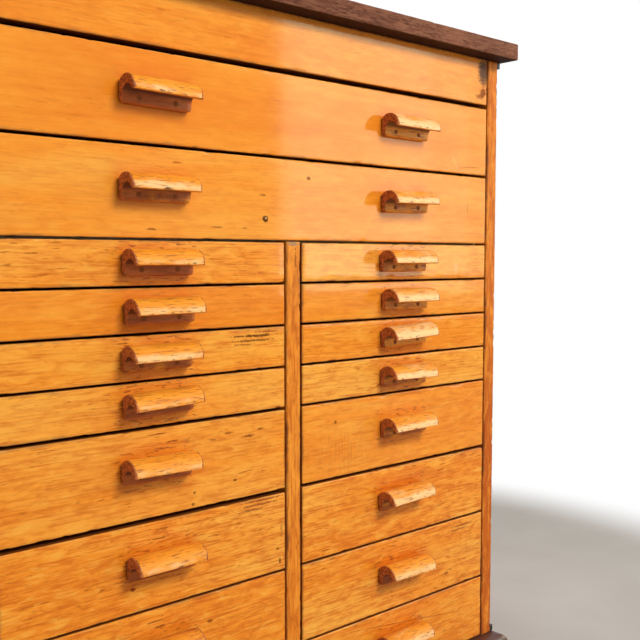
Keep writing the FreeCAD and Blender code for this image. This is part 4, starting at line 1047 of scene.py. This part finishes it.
# %% Wood of the pulls
def pull_wood_finish():
    """Varnished wood, brown on the end grain and under the lip, rubbed pale along the lip; painted shade
    darkens the cove and the seat, and a painted reflection pales the right-hand lips.
    """
    w = Wiring("pull_wood")
    grain, tone, edge = w.board()
    rub, seat = w.attribute("rub"), w.axis(w.attribute("seat", "Vector"), "X")
    figure = w.noise(grain, (16, 120, 120), 3.0, 0.6, 0.8)
    lines = w.noise(grain, (26, 520, 520), 3.0, 0.65)
    patchy = w.noise(grain, (34, 60, 60), 4.0, 0.65, shift=(4, 1, 0))
    pores = w.noise(grain, (200, 300, 300), 3.0, 0.7)
    brown = w.colours(figure, ((0.3, (0.58, 0.148, 0.030)), (0.5, (0.47, 0.106, 0.022)),
                               (0.7, (0.29, 0.056, 0.012))))
    orange = w.colours(w.plus(w.times(figure, 0.5), w.times(lines, 0.5)),
                       ((0.34, (0.92, 0.37, 0.040)), (0.5, (0.88, 0.30, 0.020)),
                        (0.66, (0.66, 0.18, 0.012))))
    dark = w.colours(pores, ((0.35, (0.22, 0.060, 0.020)), (0.5, (0.47, 0.140, 0.041)),
                             (0.65, (0.68, 0.220, 0.062))))
    # The lips are paler on the right-hand side of the chest, a painted reflection of the bright wall, and
    # darker near the floor.
    place = w.add("SeparateXYZ", {0: w.place()}).outputs
    uneven_and_sheen = w.plus(w.plus(patchy, -0.5), w.span(place["X"], -0.05, 0.1, 0.0, 0.32))
    uneven_and_sheen = w.plus(uneven_and_sheen, w.span(place["Z"], 0.3, 0.6, -0.26, 0.0))
    level = w.plus(w.plus(rub, uneven_and_sheen), w.times(w.plus(tone, -0.5), 0.25))
    colour = w.mix(w.span(level, 0.0, 0.35), brown, orange)
    colour = w.mix(w.span(level, 0.68, 1.1, 0.0, 0.85), colour, (0.94, 0.56, 0.24))
    chip = w.noise(grain, (110, 240, 240), 3.0, 0.7)
    reach = w.frayed(edge, chip, 0.020)
    colour = w.mix(w.span(reach, -0.0024, -0.0006, 0.9, 0.0), colour, (0.085, 0.03, 0.014))
    scratch = w.span(w.noise(grain, (70, 620, 620), 1.5, shift=(2, 2, 2)), 0.57, 0.68, 0.0, 0.7)
    colour = w.mix(scratch, colour, (0.30, 0.085, 0.020))
    colour = w.mix(w.span(rub, -0.6, -0.9), colour, dark)
    # Painted shade, with some grime, where the pull meets the front.
    colour = w.mix(w.span(seat, 0.0008, 0.0022, 0.75, 0.0), colour, (0.05, 0.018, 0.01))
    # Painted shade under the lip, in the cove above the leg.
    under = w.times(w.span(seat, 0.0078, 0.0096), w.span(rub, 0.35, 0.05), True)
    colour = w.mix(w.times(under, w.span(rub, -0.5, -0.1, 0.0, 0.85)), colour, (0.10, 0.028, 0.009))
    return w.dress({
        "Base Color": colour, "Roughness": w.span(patchy, 0.35, 0.65, 0.38, 0.6), "Specular IOR Level": 0.1,
        "Coat Weight": w.span(rub, 0.1, 0.5, 0.08, 0.3), "Coat IOR": 1.32, "Coat Roughness": 0.3,
        "Normal": w.bump(chip, 0.0006, 0.35, w.bump(lines, 0.00012, 0.6))})


pull_wood = pull_wood_finish()
print("finish", pull_wood.name)

# %% [markdown]
# The pull tree sets a copy of the master on each point, tilted as that pull really hangs.
# After the copies are real, each gets a tone of its own, and noise wears its lip and ends.

# %% The pull tree
def pull_growth():
    """The tree that hangs pulls on points and wears each of them."""
    g = Growth("carved_pulls", [("Pull", "Object", None), ("Wear Depth", "Float", 0.0006),
                                ("Wear Scale", "Float", 130.0), ("Worn Width", "Float", 0.005),
                                ("Seed", "Float", 1.0), ("Wood", "Material", None)])
    given = g.given
    turn = g.rotation(g.named("turn", "FLOAT_VECTOR"))
    copies = g.copied(given["Geometry"], g.model("Pull"), Rotation=turn)
    pulls, grain = g.toned(copies, 9.0, given["Seed"])
    bite = g.add("ShaderNodeTexNoise", {"Vector": grain, "Scale": given["Wear Scale"], "Detail": 2.0})
    near = g.add("ShaderNodeMapRange", {"Value": g.named("edge"), "From Min": 0.0,
                                        "From Max": given["Worn Width"], "To Min": 1.0, "To Max": 0.12})
    depth = g.times(g.times(bite.outputs[0], given["Wear Depth"]), near.outputs[0])
    inward = g.add("ShaderNodeVectorMath", {0: g.add("GeometryNodeInputNormal").outputs[0],
                                            "Scale": g.times(depth, -1.0)}, operation="SCALE")
    worn = g.add("GeometryNodeSetPosition", {"Geometry": pulls, "Offset": inward.outputs[0]})
    return g.end(worn.outputs[0], given["Wood"])


pulls_tree = pull_growth()

# %% [markdown]
# Screws and nails are one tree: a round head with a slot, on a shank. The slot is cut with a
# boolean, and each head is turned a different way, as a hand screwdriver leaves it.

# %% Dark steel and the screw tree
def steel_finish(name, tints, metal):
    """Old steel, dull and brown with age; tints run from bare to rusty places."""
    w = Wiring(name)
    rust = w.noise(w.place(), (700, 700, 700), 4.0, 0.7)
    return w.dress({
        "Base Color": w.colours(rust, tuple(zip((0.35, 0.55, 0.7), tints))), "Metallic": metal,
        "Roughness": w.span(rust, 0.3, 0.7, 0.4, 0.8), "Specular IOR Level": 0.5 * metal,
        "Normal": w.bump(rust, 0.0001, 0.5)})


def screw_growth():
    """The tree that sets a turned head with a slot, and its shank, on points."""
    g = Growth("slotted_screws", [("Head Width", "Float", 0.0058), ("Head Height", "Float", 0.0012),
                                  ("Slot Width", "Float", 0.0008), ("Shank Width", "Float", 0.0032),
                                  ("Length", "Float", 0.019), ("Seed", "Float", 1.0),
                                  ("Metal", "Material", None)])
    given = g.given
    head = g.add("GeometryNodeMeshCylinder", {
        "Vertices": 20, "Radius": g.times(given["Head Width"], 0.5), "Depth": given["Head Height"]})
    head_at = g.moved(head.outputs["Mesh"], g.vector(z=g.times(given["Head Height"], 0.5)))
    slot_size = g.vector(g.times(given["Head Width"], 1.5), given["Slot Width"], given["Slot Width"])
    slot = g.add("GeometryNodeMeshCube", {"Size": slot_size})
    slotted = g.add("GeometryNodeMeshBoolean", {"Mesh 1": head_at, "Mesh 2": slot.outputs["Mesh"]},
                    operation="DIFFERENCE", solver="EXACT")
    shank = g.add("GeometryNodeMeshCylinder", {
        "Vertices": 10, "Radius": g.times(given["Shank Width"], 0.5), "Depth": given["Length"]})
    middle = g.sum("ADD", g.times(given["Length"], 0.5), g.times(given["Head Height"], 1.02))
    shank_at = g.moved(shank.outputs["Mesh"], g.vector(z=middle))
    screw = g.add("GeometryNodeJoinGeometry")
    for part in (slotted.outputs["Mesh"], shank_at):
        g.tree.links.new(part, screw.inputs[0])
    turn = g.rotation(g.named("turn", "FLOAT_VECTOR"))
    copies = g.copied(given["Geometry"], screw.outputs[0], Rotation=turn)
    twist = g.rotation(g.vector(z=g.times(g.chance(), math.tau)))
    spun = g.add("GeometryNodeRotateInstances",
                 {"Instances": copies, "Rotation": twist, "Local Space": True})
    return g.end(spun.outputs[0], given["Metal"])


steel = steel_finish("steel", ((0.16, 0.13, 0.11), (0.07, 0.028, 0.014), (0.14, 0.045, 0.018)), 0.8)
rusty_steel = steel_finish("rusty_steel", ((0.24, 0.070, 0.020), (0.32, 0.094, 0.026),
                                           (0.42, 0.125, 0.034)), 0.05)
screws_tree = screw_growth()

# %% Pulls and their screws on every drawer
SCREW_DROP = 22


def head_and_aim(fastener):
    """Middle of a measured screw's head and the turn that aims +Z along its shank."""
    points = fastener["points"]
    axis = int(np.argmax(np.ptp(points, axis=0)))
    others = [other for other in range(3) if other != axis]
    middle = (points.max(0) + points.min(0)) / 2
    ends = []
    for place in (points[:, axis].min(), points[:, axis].max()):
        ring = points[np.abs(points[:, axis] - place) < 0.3 * MM][:, others]
        ends.append((np.ptp(ring, axis=0).max(), place))
    head = middle.copy()
    head[axis] = max(ends)[1]
    aim = Vector((0, 0, 0))
    aim[axis] = 1.0 if head[axis] < middle[axis] else -1.0
    return head, tuple(aim.to_track_quat("Z", "Y").to_euler())


def pulls_of(drawer, seed):
    """The pulls of one drawer, where the measured ones hang, and their screws."""
    screws = [solid for solid in solids_of(pull_node(drawer)) if np.ptp(solid["points"][:, 0]) < LEAST_PULL]
    heads = sorted((head_and_aim(screw) for screw in screws), key=lambda row: row[0][0])
    places, turns = [], []
    for first, second in zip(heads[0::2], heads[1::2]):
        gap = second[0] - first[0]
        tilt = math.atan2(gap[2], gap[0])
        middle = Vector((first[0] + second[0]) / 2)
        drop = Matrix.Rotation(-tilt, 3, "Y") @ Vector((0, 0, (PULL_HIGH / 2 - SCREW_DROP) * MM))
        places.append(Vector((middle.x, FACE, middle.z)) - drop)
        turns.append((0, -tilt, 0))
    made = grow(pulls_tree, places, {"Pull": pull_master, "Seed": float(seed), "Wood": pull_wood}, turns)
    settle(made, f"carved_{pull_node(drawer)}", drawer, [pull_node(drawer)])
    made = grow(screws_tree, [row[0] for row in heads], {"Seed": float(seed), "Metal": rusty_steel},
                [row[1] for row in heads])
    settle(made, f"screws_{drawer}", drawer, [])
    return places


for number, drawer in enumerate(DRAWERS):
    places = pulls_of(drawer, 101 + number)
bpy.data.objects.remove(pull_master)
print("pulls on the last drawer", len(places), [round(v, 4) for v in places[0]])

# %% Screws and nails of the carcass
FASTENERS = {
    "runner_screws": {"Head Width": 0.0058, "Head Height": 0.001, "Slot Width": 0.0008},
    "slab_screws": {"Head Width": 0.009, "Head Height": 0.003, "Shank Width": 0.0045, "Length": 0.029},
    "back_nails": {"Head Width": 0.005, "Head Height": 0.0008, "Slot Width": 0.0, "Shank Width": 0.0018,
                   "Length": 0.027},
}
for number, (node, numbers) in enumerate(FASTENERS.items()):
    rows = [head_and_aim(solid) for solid in solids_of(node)]
    made = grow(screws_tree, [row[0] for row in rows], {**numbers, "Seed": 211.0 + number, "Metal": steel},
                [row[1] for row in rows])
    settle(made, f"turned_{node}", "carcass", [node])
    print(node, len(rows), "copies")

# %% [markdown]
# The back is six upright boards. One worn board is made, and a tree sets it side by side,
# so a wider chest would only need another count. Each board gets its own tone and grain.

# %% The back boards
def back_master(width, high, deep):
    """One back board around the middle of its lower edge."""
    board = worn_board((-width / 2, 0, 0), (width / 2, deep, high), rounding=1.6 * MM, step=16 * MM,
                       wear=0.4 * MM, chips=0.8 * MM, seed=71, turned=(2, 0, 1))
    mesh = mesh_of("master_back_board", board["points"], board["faces"])
    put_value(mesh, "grain", board["grain"], "FLOAT_VECTOR")
    put_value(mesh, "edge", board["edge"])
    return new_object("master_back_board", mesh)


def slat_growth():
    """The tree that sets boards side by side, in a row around its one point."""
    g = Growth("upright_boards", [("Board", "Object", None), ("Count", "Int", 6), ("Pitch", "Float", 0.1),
                                  ("Seed", "Float", 1.0), ("Wood", "Material", None)])
    given = g.given
    half = g.times(g.sum("SUBTRACT", given["Count"], 1.0), -0.5)
    line = g.add("GeometryNodeMeshLine", {"Count": given["Count"], "Offset": g.vector(given["Pitch"]),
                                          "Start Location": g.vector(g.times(half, given["Pitch"]))})
    origin = g.add("GeometryNodeSampleIndex", {
        "Geometry": given["Geometry"], "Value": g.add("GeometryNodeInputPosition").outputs[0]},
        data_type="FLOAT_VECTOR", domain="POINT")
    row = g.moved(line.outputs["Mesh"], origin.outputs[0])
    boards, _ = g.toned(g.copied(row, g.model("Board")), 17.0)
    return g.end(boards, given["Wood"])


measured_backs = solids_of("back_boards")
low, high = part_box("back_boards")
one = np.ptp(measured_backs[0]["points"], axis=0)
back_pitch = float(measured_backs[1]["points"][:, 0].min() - measured_backs[0]["points"][:, 0].min())
back_board = back_master(one[0], high.z - low.z, high.y - low.y)
made = grow(slat_growth(), [((low.x + high.x) / 2, low.y, low.z)], {
    "Board": back_board, "Count": len(measured_backs), "Pitch": back_pitch, "Seed": 5.0, "Wood": raw_pine})
bpy.data.objects.remove(back_board)
settle(made, "worn_back_boards", "carcass", ["back_boards"])
print("back boards", len(measured_backs), "pitch", round(back_pitch, 4))

# %% [markdown]
# The hidden pieces are right as they were measured: stretchers, dust shelf, bottom board,
# runners and glue blocks. They stay, and get raw wood whose grain runs along each of them.

# %% Finishes for the measured pieces that stay
STAYING = {
    "front_stretcher": pine_along["x"], "rear_stretcher": pine_along["x"], "mid_shelf": pine_along["x"],
    "bottom_board": pine_along["x"], "side_runners": beech_along["y"], "divider_runners": beech_along["y"],
    "corner_blocks": pine_along["z"],
}
for node, material in STAYING.items():
    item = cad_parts[node]
    item.data.materials.clear()
    item.data.materials.append(material)
print("measured pieces that stay", len(STAYING))

# %% [markdown]
# ## Floor and light
#
# The chest stands on a plain pale floor that fades into a white room. One broad soft light
# hangs in front and above, and throws the short shadows under the pulls. A tall bright wall
# on the right lights the chest from that side. The varnish mirrors it in the upper right
# fronts. Four twins of that lamp, seen in mirrors alone, make the mirror image brighter
# towards the wall's near edge.

# %% Floor and room
FADE_START, FADE_END, FADE_MIDDLE = 1.2, 1.5, (0, 0.22, 0)
ROOM_LIGHT = 0.26

floor_mesh = mesh_of("studio_floor", [(-8, -8, 0), (8, -8, 0), (8, 8, 0), (-8, 8, 0)], [(0, 1, 2, 3)])
floor = new_object("studio_floor", floor_mesh)
stone = Wiring("studio_floor")
floor_mesh.materials.append(stone.material)
stone_tone = stone.noise(stone.place(), (2, 2, 2), 4.0, 0.6)
stone_colour = stone.colours(stone_tone, ((0.3, (0.49, 0.445, 0.395)), (0.7, (0.60, 0.555, 0.505))))
stone.dress({"Base Color": stone_colour, "Roughness": 0.7})
away = stone.add("VectorMath", {0: stone.place(), 1: FADE_MIDDLE}, operation="DISTANCE").outputs["Value"]
seen_white = stone.times(stone.span(away, FADE_START, FADE_END),
                         stone.add("LightPath").outputs["Is Camera Ray"])
cover = stone.add("MixShader", {0: seen_white, 1: stone.shader.outputs["BSDF"],
                                2: stone.add("Emission").outputs[0]})
stone.tree.links.new(cover.outputs[0], stone.output.inputs["Surface"])

world = bpy.data.worlds.new("studio_room")
bpy.context.scene.world = world
world.use_nodes = True
room = world.node_tree
room.nodes.clear()
path = add_node(room, "ShaderNodeLightPath").outputs
shown = path["Is Camera Ray"]
for kind in ("Is Glossy Ray", "Is Transmission Ray"):
    shown = add_node(room, "ShaderNodeMath", {0: shown, 1: path[kind]}, operation="MAXIMUM").outputs[0]
lit = add_node(room, "ShaderNodeBackground", {"Color": (1.0, 0.99, 0.97, 1), "Strength": ROOM_LIGHT})
seen = add_node(room, "ShaderNodeBackground", {"Color": (1, 1, 1, 1), "Strength": 1.0})
blend = add_node(room, "ShaderNodeMixShader", {0: shown, 1: lit.outputs[0], 2: seen.outputs[0]})
add_node(room, "ShaderNodeOutputWorld", {"Surface": blend.outputs[0]})
print("floor and room ready")

# %% Lights
def soft_light(name, place, target, width, height, power, colour=(1, 1, 1)):
    """A rectangular lamp that points from its place to a target."""
    data = bpy.data.lights.new(name, "AREA")
    data.shape = "RECTANGLE"
    data.size, data.size_y = width, height
    data.energy = power
    data.color = colour
    lamp = new_object(name, data)
    lamp.location = place
    lamp.rotation_euler = (Vector(target) - Vector(place)).to_track_quat("-Z", "Y").to_euler()
    return lamp


WALL, WALL_WIDE, WALL_HIGH = Vector((3.75, -2.45, 1.78)), 3.1, 2.64
WALL_TURN = math.atan2(2.25, -3.55)
AHEAD = Vector((math.cos(WALL_TURN), math.sin(WALL_TURN), 0))
NEAR_EDGE = Vector((-AHEAD.y, AHEAD.x, 0))
# Each twin: its share of the wall's width, counted from the near edge, and how brightly it glows
TWINS = ((1.0, 3.7), (0.37, 3.1), (0.3, 3.7), (0.12, 1.5))
TWIN_STEP = 0.03
MIRROR_TINT = (0.75, 0.92, 0.62)
soft_light("front_light", (0.45, -3.2, 2.75), (0, -0.2, 0.35), 1.1, 0.85, 108)
soft_light("bright_wall", WALL, WALL + AHEAD, WALL_WIDE, WALL_HIGH, 46)
for number, (share, glow) in enumerate(TWINS):
    # Of two lamps in one plane a ray meets only one, so each twin stands a little before the last.
    wide = WALL_WIDE * share
    place = WALL + NEAR_EDGE * (WALL_WIDE - wide) / 2 + AHEAD * TWIN_STEP * number
    twin = soft_light(f"mirrored_wall_{number}", place, place + AHEAD, wide, WALL_HIGH,
                      glow * math.pi * wide * WALL_HIGH, MIRROR_TINT)
    twin.visible_diffuse = False
soft_light("rear_fill", (-1.5, 2.6, 2.2), (0, 0, 0.5), 2.0, 2.0, 34)
